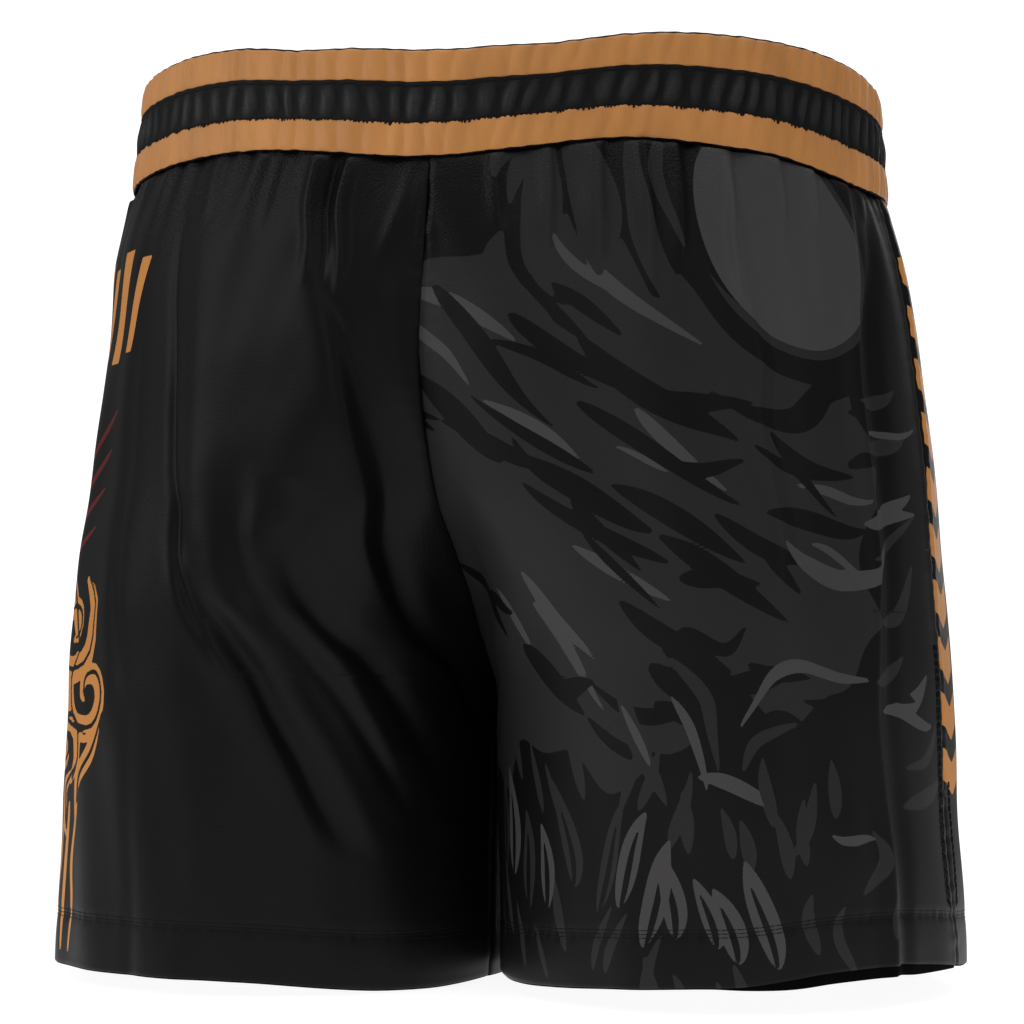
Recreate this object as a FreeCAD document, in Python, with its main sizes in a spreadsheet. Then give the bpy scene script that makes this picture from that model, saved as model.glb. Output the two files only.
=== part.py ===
"""Boxing shorts with a three-stripe elastic waistband, side slits and side-seam pockets, in worn shape.

+Z is up, the wearer's front faces -Y and the wearer's right is -X. The origin is on the resting
plane of the hems, midway between the legs. All sizes are in millimetres.

Every cloth piece is a layer between two smooth leg forms. A leg form is lofted through ellipses,
one for each level of the body, and reaches across the middle plane above the crotch, so that the
middle plane cuts it along the rise seam. The offset of a form is its distance outside the outer
face of the panels; negative offsets lie inside it.
"""

import FreeCAD, Part
import math
import os

from FreeCAD import Matrix, Vector

doc = FreeCAD.newDocument("BoxingShorts")
sheet = doc.addObject("Spreadsheet::Sheet", "Sizes")

# Levels of the leg form. Height above the hem, reach of the outermost point from the middle plane,
# inner edge (how far the leg reaches past the middle plane: 0 where the legs just touch, less where
# they are apart, the reach itself where both legs are one ring), half depth, shift towards the
# back, and lean, the angle in degrees by which the level rises towards the back.
LEVELS = {
    "hem": (0, 180, -7, 115, 0, 0),
    "thigh": (60, 176.5, -5, 117.5, 0, 0),
    "gusset": (98, 175, -2.5, 119, 0, 0),
    "crotch": (112, 174.5, 0, 119.5, 0, 0),
    "fork": (138, 172.5, 11, 121.5, 0, 0),
    "cleft": (158, 171, 28, 122, 0.5, 0),
    "seat": (180, 169.5, 58, 122.5, 1, 0),
    "hip": (225, 165, 100, 121.5, 4, 0),
    "lumbar": (268, 158.5, 130, 115.5, 7, 1.5),
    "seam": (301, 149.5, 149.5, 108.5, 9, 3.5),
}
LEVEL_PARTS = ("height", "reach", "inner", "depth", "shift", "lean")
RINGS = 22
STITCH_ROWS = 3

# Other driving dimensions.
DIMENSIONS = {
    "band_height": 38,
    "band_top_reach": 146,
    "band_top_depth": 105.5,
    "top_stripe_height": 11.4,
    "bottom_stripe_height": 12.2,
    "stripe_cloth": 1.2,
    "stripe_gap": 0.2,
    "panel_cloth": 1,
    "layer_gap": 0.2,
    "seam_allowance": 8,
    "facing_cap": 1,
    "elastic_clearance": 0.4,
    "hem_fold": 22,
    "hem_row_height": 18.2,
    "seam_gap": 0.1,
    "end_gap": 1,
    "side_seam_shift": 16,
    "side_region_share": 0.75,
    "inseam_region_reach": 45,
    "slit_height": 68,
    "slit_mouth": 5,
    "thread": 0.5,
    "thread_lift": 0.05,
    "row_pitch": 1.4,
    "band_stitch_inset": 2.2,
    "side_row_offset": 5,
    "side_rows_top": 126,
    "front_rows_above_slit": 6,
    "overlock_half_width": 3.5,
    "pocket_bottom": 136,
    "pocket_mouth_top": 286,
    "pocket_width": 86,
    "bag_cloth": 0.8,
    "bag_gap": 0.6,
    "bag_margin": 6,
    "bartack_height": 3,
    "bartack_width": 9,
    "label_width": 30,
    "label_drop": 48,
    "label_centre": 34,
    "label_cloth": 0.6,
    "room": 260,
    "overrun": 15,
}


def fill_sheet():
    """Writes every driving dimension into the sheet as a plain number with an alias."""
    rows = [
        (f"{level}_{part}", value)
        for level, values in LEVELS.items()
        for part, value in zip(LEVEL_PARTS, values)
    ]
    rows += list(DIMENSIONS.items())
    for number, (alias, value) in enumerate(rows, start=1):
        sheet.set(f"A{number}", alias)
        sheet.set(f"B{number}", str(value))
        sheet.setAlias(f"B{number}", alias)
    doc.recompute()


def size(alias):
    """A driving dimension, read back from the sheet."""
    return float(sheet.get(alias))


def bind(thing, **expressions):
    """Binds properties to cells. A double underscore in a name stands for a dot."""
    for name, expression in expressions.items():
        thing.setExpression(name.replace("__", "."), str(expression))
    return thing


# ---------------------------------------------------------------- forms and regions


def ellipse_wire(height, centre_x, centre_y, half_width, half_depth, lean):
    """An ellipse as four quarter arcs that always start at its outermost point, leaning about its middle."""
    quarters = []
    for turn in range(4):
        angles = [math.pi + (turn + share) * math.pi / 2 for share in (0, 0.5, 1)]
        arc = Part.Arc(*[Vector(math.cos(angle), math.sin(angle), 0) for angle in angles])
        stretch = Matrix()
        stretch.scale(half_width, half_depth, 1)
        quarters.append(arc.toShape().transformGeometry(stretch))
    wire = Part.Wire(quarters)
    wire.translate(Vector(centre_x, centre_y, height))
    wire.rotate(Vector(0, centre_y, height), Vector(1, 0, 0), lean)
    return wire


def smooth_through(places, values, place):
    """A smooth curve through given values that never overshoots them, read at one place."""
    steps = [(after - before, gain_after - gain_before) for before, after, gain_before, gain_after in
             zip(places, places[1:], values, values[1:])]
    grades = [gain / width for width, gain in steps]
    inner_slopes = [
        2 * low * high / (low + high) if low * high > 0 else 0 for low, high in zip(grades, grades[1:])
    ]
    slopes = [grades[0], *inner_slopes, grades[-1]]
    number = max(index for index in range(len(steps)) if place >= places[index])
    width, gain = steps[number]
    share = (place - places[number]) / width
    start, end = slopes[number] * width, slopes[number + 1] * width
    bend = (start + end - 2 * gain) * share + (3 * gain - 2 * start - end)
    return values[number] + (start + bend * share) * share


def leg_form(offset):
    """The solid inside the right leg's cloth, from below the hem to above the waist seam."""
    levels = [{part: size(f"{level}_{part}") for part in LEVEL_PARTS} for level in LEVELS]
    columns = {part: [level[part] for level in levels] for part in LEVEL_PARTS}
    seam_height = columns["height"][-1]
    rings = []
    for number in range(RINGS + 1):
        height = seam_height * number / RINGS
        rings.append({part: smooth_through(columns["height"], columns[part], height) for part in LEVEL_PARTS})
    below = dict(rings[0], height=-size("overrun"))
    # The ring halfway up the waistband lies on the waistband's own leaning axis.
    rise = size("band_height") / 2
    lean = math.radians(size("seam_lean"))
    above = dict(rings[-1], height=seam_height + rise * math.cos(lean))
    above["shift"] -= rise * math.sin(lean)
    above["reach"] = above["inner"] = (size("seam_reach") + size("band_top_reach")) / 2
    above["depth"] = (size("seam_depth") + size("band_top_depth")) / 2
    wires = [
        ellipse_wire(
            ring["height"],
            (ring["inner"] - ring["reach"]) / 2,
            ring["shift"],
            (ring["inner"] + ring["reach"]) / 2 + offset,
            ring["depth"] + offset,
            ring["lean"],
        )
        for ring in [below, *rings, above]
    ]
    return Part.makeLoft(wires, True, False)


made_forms = {}


def form(offset):
    """The right leg form at an offset, made once and kept in the document."""
    key = round(offset, 3)
    if key not in made_forms:
        thing = doc.addObject("Part::Feature", f"LegForm{len(made_forms)}")
        thing.Shape = leg_form(key)
        made_forms[key] = thing
    return made_forms[key]


def block(name, x, y, z):
    """A box between two expressions along each axis."""
    thing = doc.addObject("Part::Box", name)
    sizes = zip(("Length", "Width", "Height"), ("x", "y", "z"), (x, y, z))
    for side, axis, (low, high) in sizes:
        thing.setExpression(side, f"({high}) - ({low})")
        thing.setExpression(f"Placement.Base.{axis}", f"{low}")
    return thing


def common(name, *shapes):
    thing = doc.addObject("Part::MultiCommon", name)
    thing.Shapes = list(shapes)
    return thing


def fuse(name, *shapes):
    thing = doc.addObject("Part::MultiFuse", name)
    thing.Shapes = list(shapes)
    return thing


def cut(name, base, tool):
    thing = doc.addObject("Part::Cut", name)
    thing.Base = base
    thing.Tool = tool
    return thing


def mirror(name, source):
    """The wearer's left-hand twin of a right-hand piece."""
    thing = doc.addObject("Part::Mirroring", name)
    thing.Source = source
    thing.Normal = (1, 0, 0)
    return thing


def layer(name, outer, inner, *regions):
    """Cloth between two form offsets, kept inside every region."""
    return common(name, cut(f"{name}Layer", form(outer), form(inner)), *regions)


def leaning(thing):
    """Turns a piece that is drawn level so that it leans with the waist, about the waist seam's middle."""
    middle = Vector(0, size("seam_shift"), size("seam_height"))
    rotation = FreeCAD.Rotation(Vector(1, 0, 0), size("seam_lean"))
    thing.Placement = FreeCAD.Placement(Vector(0, 0, 0), rotation, middle)
    return thing


def below_waist(name, top):
    """Everything under a plane that leans with the waist, at a height given on the leaning axis."""
    flat_block = block(f"{name}Block", ACROSS, ACROSS, (f"-{ROOM}", top))
    return leaning(common(name, flat_block))


ROOM = "Sizes.room"
ACROSS = (f"-{ROOM}", ROOM)
RIGHT = (f"-{ROOM}", "-Sizes.seam_gap")
SIDE_SEAM = "Sizes.side_seam_shift"
BACK = (f"{SIDE_SEAM} + Sizes.seam_gap", ROOM)
FRONT = (f"-{ROOM}", f"{SIDE_SEAM} - Sizes.seam_gap")
INNER_EDGE_OF_SIDE = "-Sizes.seam_reach * Sizes.side_region_share"
OUTER_SIDE = (f"-{ROOM}", INNER_EDGE_OF_SIDE)
PANEL_TOP = "Sizes.seam_height + Sizes.seam_allowance"
BAND_TOP = "Sizes.seam_height + Sizes.band_height"
UNDER_BAND = "Sizes.seam_height - Sizes.end_gap"

sub_parts = []


def sub_part(thing, label):
    """Names a finished piece; its label becomes the file's name."""
    thing.Label = label
    sub_parts.append(thing)
    return thing


def both_sides(thing, label):
    """Keeps a right-hand piece and its left-hand twin."""
    sub_part(thing, f"{label}_right")
    sub_part(mirror(f"{thing.Name}Left", thing), f"{label}_left")


# ---------------------------------------------------------------- leg panels


def slit():
    """The wedge of air that opens the side seam below the slit's top."""
    thing = doc.addObject("Part::Wedge", "SlitWedge")
    return bind(
        thing,
        Xmin=f"-{ROOM}",
        Xmax=INNER_EDGE_OF_SIDE,
        X2min=f"-{ROOM}",
        X2max=INNER_EDGE_OF_SIDE,
        Ymin="-Sizes.overrun",
        Ymax="Sizes.slit_height",
        Zmin="-Sizes.slit_mouth / 2",
        Zmax="Sizes.slit_mouth / 2",
        Z2min="-Sizes.seam_gap",
        Z2max="Sizes.seam_gap",
        Placement__Base__y=SIDE_SEAM,
    )


def panels():
    """Four cut panels, each with its hem turned up inside to make a double layer."""
    single = size("panel_cloth")
    double = 2 * single + size("layer_gap")
    above_hem = block("AboveHem", ACROSS, ACROSS, ("Sizes.hem_fold", f"{BAND_TOP} + 2 * Sizes.overrun"))
    below_top = below_waist("BelowPanelTop", PANEL_TOP)
    inside = fuse("PanelInside", form(-double), common("InsideAboveHem", form(-single), above_hem))
    wedge = slit()
    # A wedge narrows along its own Y, so it stands on its side to narrow upwards.
    wedge.Placement = FreeCAD.Placement(Vector(0, 0, 0), FreeCAD.Rotation(Vector(1, 0, 0), 90))
    for label, side in (("back_panel", BACK), ("front_panel", FRONT)):
        name = label.title().replace("_", "")
        region = block(f"{name}Region", RIGHT, side, ("0", BAND_TOP))
        quarter = common(f"{name}Quarter", form(0), region, below_top)
        both_sides(cut(name, cut(f"{name}Closed", quarter, inside), wedge), label)


# ---------------------------------------------------------------- seams and stitching


def rows(name, outer, inner, regions):
    """Parallel rows of thread, one for each region, in one node."""
    shell = cut(f"{name}Thread", form(outer), form(inner))
    return fuse(name, *[common(f"{name}Row{number}", shell, region) for number, region in enumerate(regions)])


def hem_stitching():
    """Rows of cover stitch round each hem."""
    lift = size("thread_lift")
    for label, low, high in (
        ("hem_stitching_back", f"{SIDE_SEAM} + Sizes.slit_mouth", ROOM),
        ("hem_stitching_front", f"-{ROOM}", f"{SIDE_SEAM} - Sizes.slit_mouth"),
    ):
        name = label.title().replace("_", "")
        regions = []
        for number in range(STITCH_ROWS):
            bottom = f"Sizes.hem_row_height + {number} * Sizes.row_pitch"
            height = (bottom, f"{bottom} + Sizes.thread")
            regions.append(block(f"{name}Band{number}", RIGHT, (low, high), height))
        both_sides(rows(name, lift + size("thread"), lift, regions), label)


def side_stitching():
    """Rows along each side of the side seam: up to the pocket behind, just past the slit in front."""
    lift = size("thread_lift")
    for label, sign, top in (
        ("side_stitching_back", 1, "Sizes.side_rows_top"),
        ("side_stitching_front", -1, "Sizes.slit_height + Sizes.front_rows_above_slit"),
    ):
        name = label.title().replace("_", "")
        regions = []
        for number in range(STITCH_ROWS):
            near = f"Sizes.side_row_offset + {number} * Sizes.row_pitch"
            far = f"{near} + Sizes.thread"
            edges = [f"{SIDE_SEAM} + {sign} * ({edge})" for edge in (near, far)][::sign]
            # The hem rows cross here, so these rows stop above them.
            height = (f"Sizes.hem_row_height + {STITCH_ROWS} * Sizes.row_pitch", top)
            regions.append(block(f"{name}Strip{number}", OUTER_SIDE, tuple(edges), height))
        both_sides(rows(name, lift + size("thread"), lift, regions), label)


def slit_bartacks():
    """Dense bars of thread that close the top of each slit."""
    lift = size("thread_lift")
    half = "Sizes.bartack_width / 2"
    height = ("Sizes.slit_height", "Sizes.slit_height + Sizes.bartack_height")
    region = block("BartackRegion", OUTER_SIDE, (f"{SIDE_SEAM} - {half}", f"{SIDE_SEAM} + {half}"), height)
    both_sides(layer("SlitBartack", lift + size("thread"), lift, region), "slit_bartack")


def overlocks():
    """Trimmed seam allowances with their overlock thread, flat on the inside of each seam."""
    outer = -size("panel_cloth") - size("layer_gap")
    inner = outer - size("panel_cloth")
    half = "Sizes.overlock_half_width"
    strip = (f"{SIDE_SEAM} - {half}", f"{SIDE_SEAM} + {half}")
    above_hem = "Sizes.hem_fold + Sizes.end_gap"
    below_crotch = "Sizes.crotch_height - Sizes.end_gap"
    inner_side = ("-Sizes.inseam_region_reach", "-Sizes.seam_gap")
    inseam = block("InseamRegion", inner_side, strip, (above_hem, below_crotch))
    both_sides(layer("InseamOverlock", outer, inner, inseam), "inseam_overlock")
    below_bag = "Sizes.pocket_bottom - Sizes.end_gap"
    side = block("SideSeamRegion", OUTER_SIDE, strip, ("Sizes.slit_height", below_bag))
    both_sides(layer("SideSeamOverlock", outer, inner, side), "side_seam_overlock")
    rise = block("RiseRegion", (f"-{half}", "0"), ACROSS, ("Sizes.crotch_height + Sizes.end_gap", BAND_TOP))
    below_band = below_waist("RiseBelowBand", UNDER_BAND)
    right_half = layer("RiseRightHalf", outer, inner, rise, below_band)
    sub_part(fuse("RiseSeamOverlock", right_half, mirror("RiseLeftHalf", right_half)), "rise_seam_overlock")


# ---------------------------------------------------------------- pockets and label


def pockets():
    """A flat two-ply bag behind each side seam, caught in the waist seam, open towards the seam."""
    cloth = size("bag_cloth")
    outer = -size("panel_cloth") - size("layer_gap")
    first_ply = outer - cloth
    second_ply = first_ply - size("bag_gap")
    inner = second_ply - cloth
    start = f"{SIDE_SEAM} + Sizes.overlock_half_width + Sizes.end_gap"
    end = f"{SIDE_SEAM} + Sizes.pocket_width"
    region = block("BagRegion", OUTER_SIDE, (start, end), ("Sizes.pocket_bottom", BAND_TOP))
    hollow = block(
        "BagHollowRegion",
        OUTER_SIDE,
        (SIDE_SEAM, f"{end} - Sizes.bag_margin"),
        ("Sizes.pocket_bottom + Sizes.bag_margin", "Sizes.pocket_mouth_top"),
    )
    full = layer("BagFull", outer, inner, region, below_waist("BagBelowBand", UNDER_BAND))
    bag = cut("PocketBag", full, layer("BagHollow", first_ply, second_ply, hollow))
    both_sides(bag, "pocket_bag")
    lift = size("thread_lift")
    row_low = "Sizes.pocket_bottom + Sizes.end_gap"
    row = block(
        "PocketRowRegion",
        OUTER_SIDE,
        (f"{SIDE_SEAM} + Sizes.side_row_offset", end),
        (row_low, f"{row_low} + Sizes.thread"),
    )
    both_sides(layer("PocketStitching", lift + size("thread"), lift, row), "pocket_stitching")


def care_label():
    """A blank woven tab that hangs from the waist seam inside the left back."""
    outer = -2 * (size("panel_cloth") + size("layer_gap"))
    half = "Sizes.label_width / 2"
    across = (f"-Sizes.label_centre - {half}", f"-Sizes.label_centre + {half}")
    region = block("LabelRegion", across, BACK, ("Sizes.seam_height - Sizes.label_drop", BAND_TOP))
    below_band = below_waist("LabelBelowBand", UNDER_BAND)
    right_twin = layer("CareLabelTwin", outer, outer - size("label_cloth"), region, below_band)
    sub_part(mirror("CareLabel", right_twin), "care_label")


# ---------------------------------------------------------------- waistband


def band_form(name, offset):
    """A tapering oval solid that holds everything inside an offset of the waistband."""
    ovals = []
    for end, share, height in (
        ("Low", "-Sizes.overrun / Sizes.band_height", "Sizes.seam_height - Sizes.overrun"),
        ("High", "1 + Sizes.overrun / Sizes.band_height", f"{BAND_TOP} + Sizes.overrun"),
    ):
        oval = doc.addObject("Part::Ellipse", f"{name}Oval{end}")
        reach = "Sizes.seam_reach + (Sizes.band_top_reach - Sizes.seam_reach)"
        depth = "Sizes.seam_depth + (Sizes.band_top_depth - Sizes.seam_depth)"
        bind(
            oval,
            MajorRadius=f"{reach} * ({share}) + ({offset})",
            MinorRadius=f"{depth} * ({share}) + ({offset})",
            Placement__Base__y="Sizes.seam_shift",
            Placement__Base__z=height,
        )
        ovals.append(oval)
    thing = doc.addObject("Part::Loft", name)
    thing.Sections = ovals
    thing.Solid = True
    thing.Ruled = True
    return thing


def ring(name, outer, inner, low, high):
    """A closed band of cloth between two band forms and two heights."""
    wall = cut(f"{name}Wall", outer, inner)
    return common(name, wall, block(f"{name}Slice", ACROSS, ACROSS, (low, high)))


def waistband():
    """Outer stripes, elastic, facing that caps the elastic and two rows of topstitch, all drawn level first."""
    stripe_in = "Sizes.stripe_gap"
    stripe_out = f"{stripe_in} + Sizes.stripe_cloth"
    lining_out = "-Sizes.panel_cloth - Sizes.layer_gap"
    thread_in = f"{stripe_out} + Sizes.thread_lift"
    outer = band_form("StripeOuter", stripe_out)
    inner = band_form("StripeInner", stripe_in)
    elastic_outer = band_form("ElasticOuter", "0")
    elastic_inner = band_form("ElasticInner", "-Sizes.panel_cloth")
    facing_outer = band_form("FacingOuter", lining_out)
    facing_inner = band_form("FacingInner", f"{lining_out} - Sizes.panel_cloth")
    thread_inner = band_form("ThreadInner", thread_in)
    thread_outer = band_form("ThreadOuter", f"{thread_in} + Sizes.thread")

    low_edge = "Sizes.seam_height + Sizes.bottom_stripe_height"
    high_edge = f"{BAND_TOP} - Sizes.top_stripe_height"
    gap = "Sizes.seam_gap"
    stripes = (
        ("bottom_stripe", "Sizes.seam_height", f"{low_edge} - {gap}"),
        ("middle_stripe", f"{low_edge} + {gap}", f"{high_edge} - {gap}"),
        ("top_stripe", f"{high_edge} + {gap}", BAND_TOP),
    )
    for label, low, high in stripes:
        stripe = ring(label.title().replace("_", ""), outer, inner, low, high)
        sub_part(leaning(stripe), f"waistband_{label}")

    cap_bottom = f"{BAND_TOP} - Sizes.facing_cap"
    elastic_low = f"{PANEL_TOP} + Sizes.elastic_clearance"
    elastic_high = f"{cap_bottom} - Sizes.elastic_clearance"
    elastic = ring("Elastic", elastic_outer, elastic_inner, elastic_low, elastic_high)
    sub_part(leaning(elastic), "waistband_elastic")

    # The facing turns over the elastic's top edge: a thick ring, relieved outside below its cap.
    thick = ring("FacingThick", elastic_outer, facing_inner, "Sizes.seam_height", BAND_TOP)
    relief = ring("FacingRelief", outer, facing_outer, "Sizes.seam_height - Sizes.overrun", cap_bottom)
    sub_part(leaning(cut("Facing", thick, relief)), "waistband_facing")

    for label, row in (
        ("lower_topstitch", f"{low_edge} + Sizes.band_stitch_inset"),
        ("upper_topstitch", f"{high_edge} - Sizes.band_stitch_inset"),
    ):
        name = label.title().replace("_", "")
        thread = ring(name, thread_outer, thread_inner, row, f"{row} + Sizes.thread")
        sub_part(leaning(thread), f"waistband_{label}")


# ---------------------------------------------------------------- build and export


def check(things):
    """Stops before anything is written if a feature failed or a piece isn't valid."""
    failed = [thing.Name for thing in doc.Objects if {"Invalid", "Error"} & set(thing.State)]
    if failed:
        raise RuntimeError(f"features that failed to build: {failed}")
    for thing in things:
        shape = thing.Shape
        if shape.isNull() or not shape.isValid() or not shape.Solids:
            raise RuntimeError(f"{thing.Label} has no valid solid")


def export(things):
    os.makedirs("parts", exist_ok=True)
    for thing in things:
        thing.Shape.exportStep(os.path.join("parts", f"{thing.Label}.step"))
        print(f"{thing.Label}: {len(thing.Shape.Solids)} solids, {thing.Shape.Volume / 1000:.2f} cm3")


fill_sheet()
panels()
hem_stitching()
side_stitching()
slit_bartacks()
overlocks()
pockets()
care_label()
waistband()
doc.recompute()
check(sub_parts)
export(sub_parts)
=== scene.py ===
"""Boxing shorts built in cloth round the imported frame.

Shapes are worked out in millimetres in the row frame (+Z up, the wearer's front faces -Y, the
wearer's right is -X) and become meshes in metres at the end. A point on a leg is given by its turn,
0 at the inner edge of the leg and 180 degrees at the outermost point, positive round the back and
negative round the front, by its height, and by its offset outside the outer face of the cloth.
"""

import math

import bpy
import numpy as np
from mathutils import Matrix, Vector


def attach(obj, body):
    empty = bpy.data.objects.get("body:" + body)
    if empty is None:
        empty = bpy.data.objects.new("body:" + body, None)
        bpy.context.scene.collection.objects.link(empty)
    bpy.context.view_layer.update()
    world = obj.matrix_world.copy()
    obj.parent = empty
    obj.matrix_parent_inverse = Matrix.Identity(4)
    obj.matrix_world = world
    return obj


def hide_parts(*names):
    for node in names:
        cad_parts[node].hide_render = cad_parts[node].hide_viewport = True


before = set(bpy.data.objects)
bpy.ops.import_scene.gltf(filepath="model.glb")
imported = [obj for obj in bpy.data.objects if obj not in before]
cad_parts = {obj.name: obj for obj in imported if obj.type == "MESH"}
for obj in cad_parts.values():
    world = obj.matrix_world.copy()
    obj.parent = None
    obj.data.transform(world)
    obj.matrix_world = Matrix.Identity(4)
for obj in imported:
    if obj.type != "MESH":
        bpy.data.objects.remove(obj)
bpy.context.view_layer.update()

MM = 0.001
RIGHT, LEFT = -1, 1
SIDES = {"right": RIGHT, "left": LEFT}

# ---------------------------------------------------------------- the form of the body

# Height, reach, inner edge, half depth, shift to the back, lean in degrees: as in the CAD part.
LEVELS = np.array(
    [
        (0, 180, -7, 115, 0, 0),
        (60, 176.5, -5, 117.5, 0, 0),
        (98, 175, -2.5, 119, 0, 0),
        (112, 174.5, 0, 119.5, 0, 0),
        (138, 172.5, 11, 121.5, 0, 0),
        (158, 171, 28, 122, 0.5, 0),
        (180, 169.5, 58, 122.5, 1, 0),
        (225, 165, 100, 121.5, 4, 0),
        (268, 158.5, 130, 115.5, 7, 1.5),
        (301, 149.5, 149.5, 108.5, 9, 3.5),
    ],
    float,
)
SEAM, BAND, LEAN, SHIFT = 301.0, 38.0, math.radians(3.5), 9.0
BAND_LOW, BAND_HIGH = (149.5, 108.5), (146.0, 105.5)
CROTCH = 112.0
SIDE_Y = 16.0
HEM_FOLD = 22.0
SLIT = 68.0
AROUND = 105.0  # a leg's mean radius, which turns radians into millimetres across the print and the folds


def smooth(x):
    """Eases from 0 at 0 to 1 at 1."""
    x = np.clip(x, 0, 1)
    return x * x * (3 - 2 * x)


def bell(x, width):
    """A bump that is 1 at 0 and fades over a width."""
    return np.exp(-((x / width) ** 2))


def through(places, values, at):
    """A smooth curve through the values that never overshoots them."""
    places, values, at = (np.asarray(x, float) for x in (places, values, at))
    steps = np.diff(places)
    grades = np.diff(values) / steps
    low, high = grades[:-1], grades[1:]
    flat = low * high <= 0
    inner = np.where(flat, 0, 2 * low * high / np.where(flat, 1, low + high))
    slopes = np.concatenate([grades[:1], inner, grades[-1:]])
    number = np.clip(np.searchsorted(places, at, side="right") - 1, 0, len(steps) - 1)
    width = steps[number]
    share = (at - places[number]) / width
    gain = values[number + 1] - values[number]
    start, end = slopes[number] * width, slopes[number + 1] * width
    bend = (start + end - 2 * gain) * share + (3 * gain - 2 * start - end)
    inside = values[number] + (start + bend * share) * share
    below = values[0] + slopes[0] * (at - places[0])
    above = values[-1] + slopes[-1] * (at - places[-1])
    return np.where(at < places[0], below, np.where(at > places[-1], above, inside))


def rings(height):
    """reach, inner, depth, shift, lean, centre height of the leg's ring for a height along the leg."""
    height = np.asarray(height, float)
    reach, inner, depth, shift, lean = (through(LEVELS[:, 0], LEVELS[:, k], height) for k in range(1, 6))
    over = np.maximum(height - SEAM, 0)
    up = height > SEAM
    share = over / BAND
    band_reach = BAND_LOW[0] + (BAND_HIGH[0] - BAND_LOW[0]) * share
    reach = np.where(up, band_reach, reach)
    inner = np.where(up, band_reach, inner)
    depth = np.where(up, BAND_LOW[1] + (BAND_HIGH[1] - BAND_LOW[1]) * share, depth)
    shift = np.where(up, SHIFT - over * math.sin(LEAN), shift)
    lean = np.where(up, LEAN, np.radians(lean))
    centre = np.where(up, SEAM + over * math.cos(LEAN), height)
    return reach, inner, depth, shift, lean, centre


def cloth_radius(height):
    """The mean radius of the leg's ring at each height, which turns radians into millimetres of cloth."""
    reach, inner, depth, *_ = rings(height)
    return ((reach + inner) / 2 + depth) / 2


def leg_point(side, turn, height):
    """Points and outward directions, shape (..., 3), on the leg's form."""
    reach, inner, depth, shift, lean, centre = rings(height)
    wide = (reach + inner) / 2
    c, s = np.cos(turn), np.sin(turn)
    out = np.stack([-side * c / wide, s / depth, np.zeros_like(c * wide)], -1)
    out /= np.linalg.norm(out, axis=-1, keepdims=True)
    x = side * ((reach - inner) / 2 - wide * c)
    y = shift + depth * s * np.cos(lean)
    z = centre + depth * s * np.sin(lean)
    return np.stack(np.broadcast_arrays(x, y, z), -1), out


def seam_turns(height, front):
    """The turn of a panel's inner seam and of its side seam at each height."""
    reach, inner, depth, shift, _, _ = rings(height)
    rise = np.arccos(np.clip((reach - inner) / (reach + inner), -1, 1))
    aside = np.arcsin(np.clip((SIDE_Y - shift) / depth, -1, 1))
    inseam = aside * smooth((CROTCH - height) / 30)
    if front:
        return np.where(height > CROTCH, -rise, inseam), -np.pi - aside
    return np.where(height > CROTCH, rise, inseam), np.pi - aside


# The band has settled unevenly: how far its top and bottom edges stand above their places, by the
# angle round the waist in degrees, 0 at the wearer's left and 90 at the back.
BAND_RISES = (
    (-180, -140, -90, -40, 0, 12, 22, 34, 45, 50, 55, 60, 65, 72, 78,
     84, 90, 97, 103, 109, 115, 121, 128, 135, 142, 151, 160, 168, 174),
    (1.6, 0.5, 0, 0.5, 4.8, 7.0, 7.3, 7.4, 5.9, 4.4, 2.4, 0.7, 0.2, -0.6, -1.6,
     -2.9, -3.3, -3.3, -2.3, -2.2, -1.4, 0.6, 2.9, 4.5, 5.3, 5.8, 5.5, 4.3, 3.2),
    (-3.0, -1.5, 0, 0.5, 2.6, 2.4, 2.5, 3.1, 2.9, 2.3, 1.5, 0.4, -1.0, -2.8, -4.4,
     -5.6, -5.9, -5.5, -4.1, -3.0, -1.3, 0.4, 1.6, 1.5, 0.8, 0.4, -2.6, -4.8, -4.2),
)


def eased_round(angles, values, width):
    """The values at every whole degree from -180 to 180, softened round the circle."""
    fine = np.arange(-180, 181.0)
    kernel = bell(np.arange(-3.0 * width, 3 * width + 1), width)
    ring = np.concatenate([np.interp(fine, angles, values, period=360)[:-1]] * 3)
    return fine, np.convolve(ring, kernel / kernel.sum(), "same")[360:721]


def settle(points):
    """Moves points of any piece, in millimetres, the way the whole garment has settled."""
    p = points.copy()
    x, y, z = points[..., 0], points[..., 1], points[..., 2]
    up_band = (z - SEAM) * math.cos(LEAN) - (y - SHIFT) * math.sin(LEAN)
    angle = np.degrees(np.arctan2(y - SHIFT, x))
    angles, tops, bottoms = BAND_RISES
    fine, top = eased_round(angles, tops, 3)
    _, bottom = eased_round(angles, bottoms, 3)
    share = np.clip(up_band / BAND, 0, 1.05)
    rise = np.interp(angle, fine, top) * share + np.interp(angle, fine, bottom) * (1 - share)
    p[..., 2] += rise * smooth((up_band + 92) / 84)
    # The left end of the band and the left hip stand out further.
    left = smooth((x - 60) / 80) * smooth((z - 235) / 45)
    p[..., 0] += 4.3 * left
    # The centre-back seam sways to the wearer's left over the seat.
    back = smooth((y - 40) / 60) * bell(x, 55)
    p[..., 0] += 4.0 * back * bell(z - 225, 48)
    return p


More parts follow.
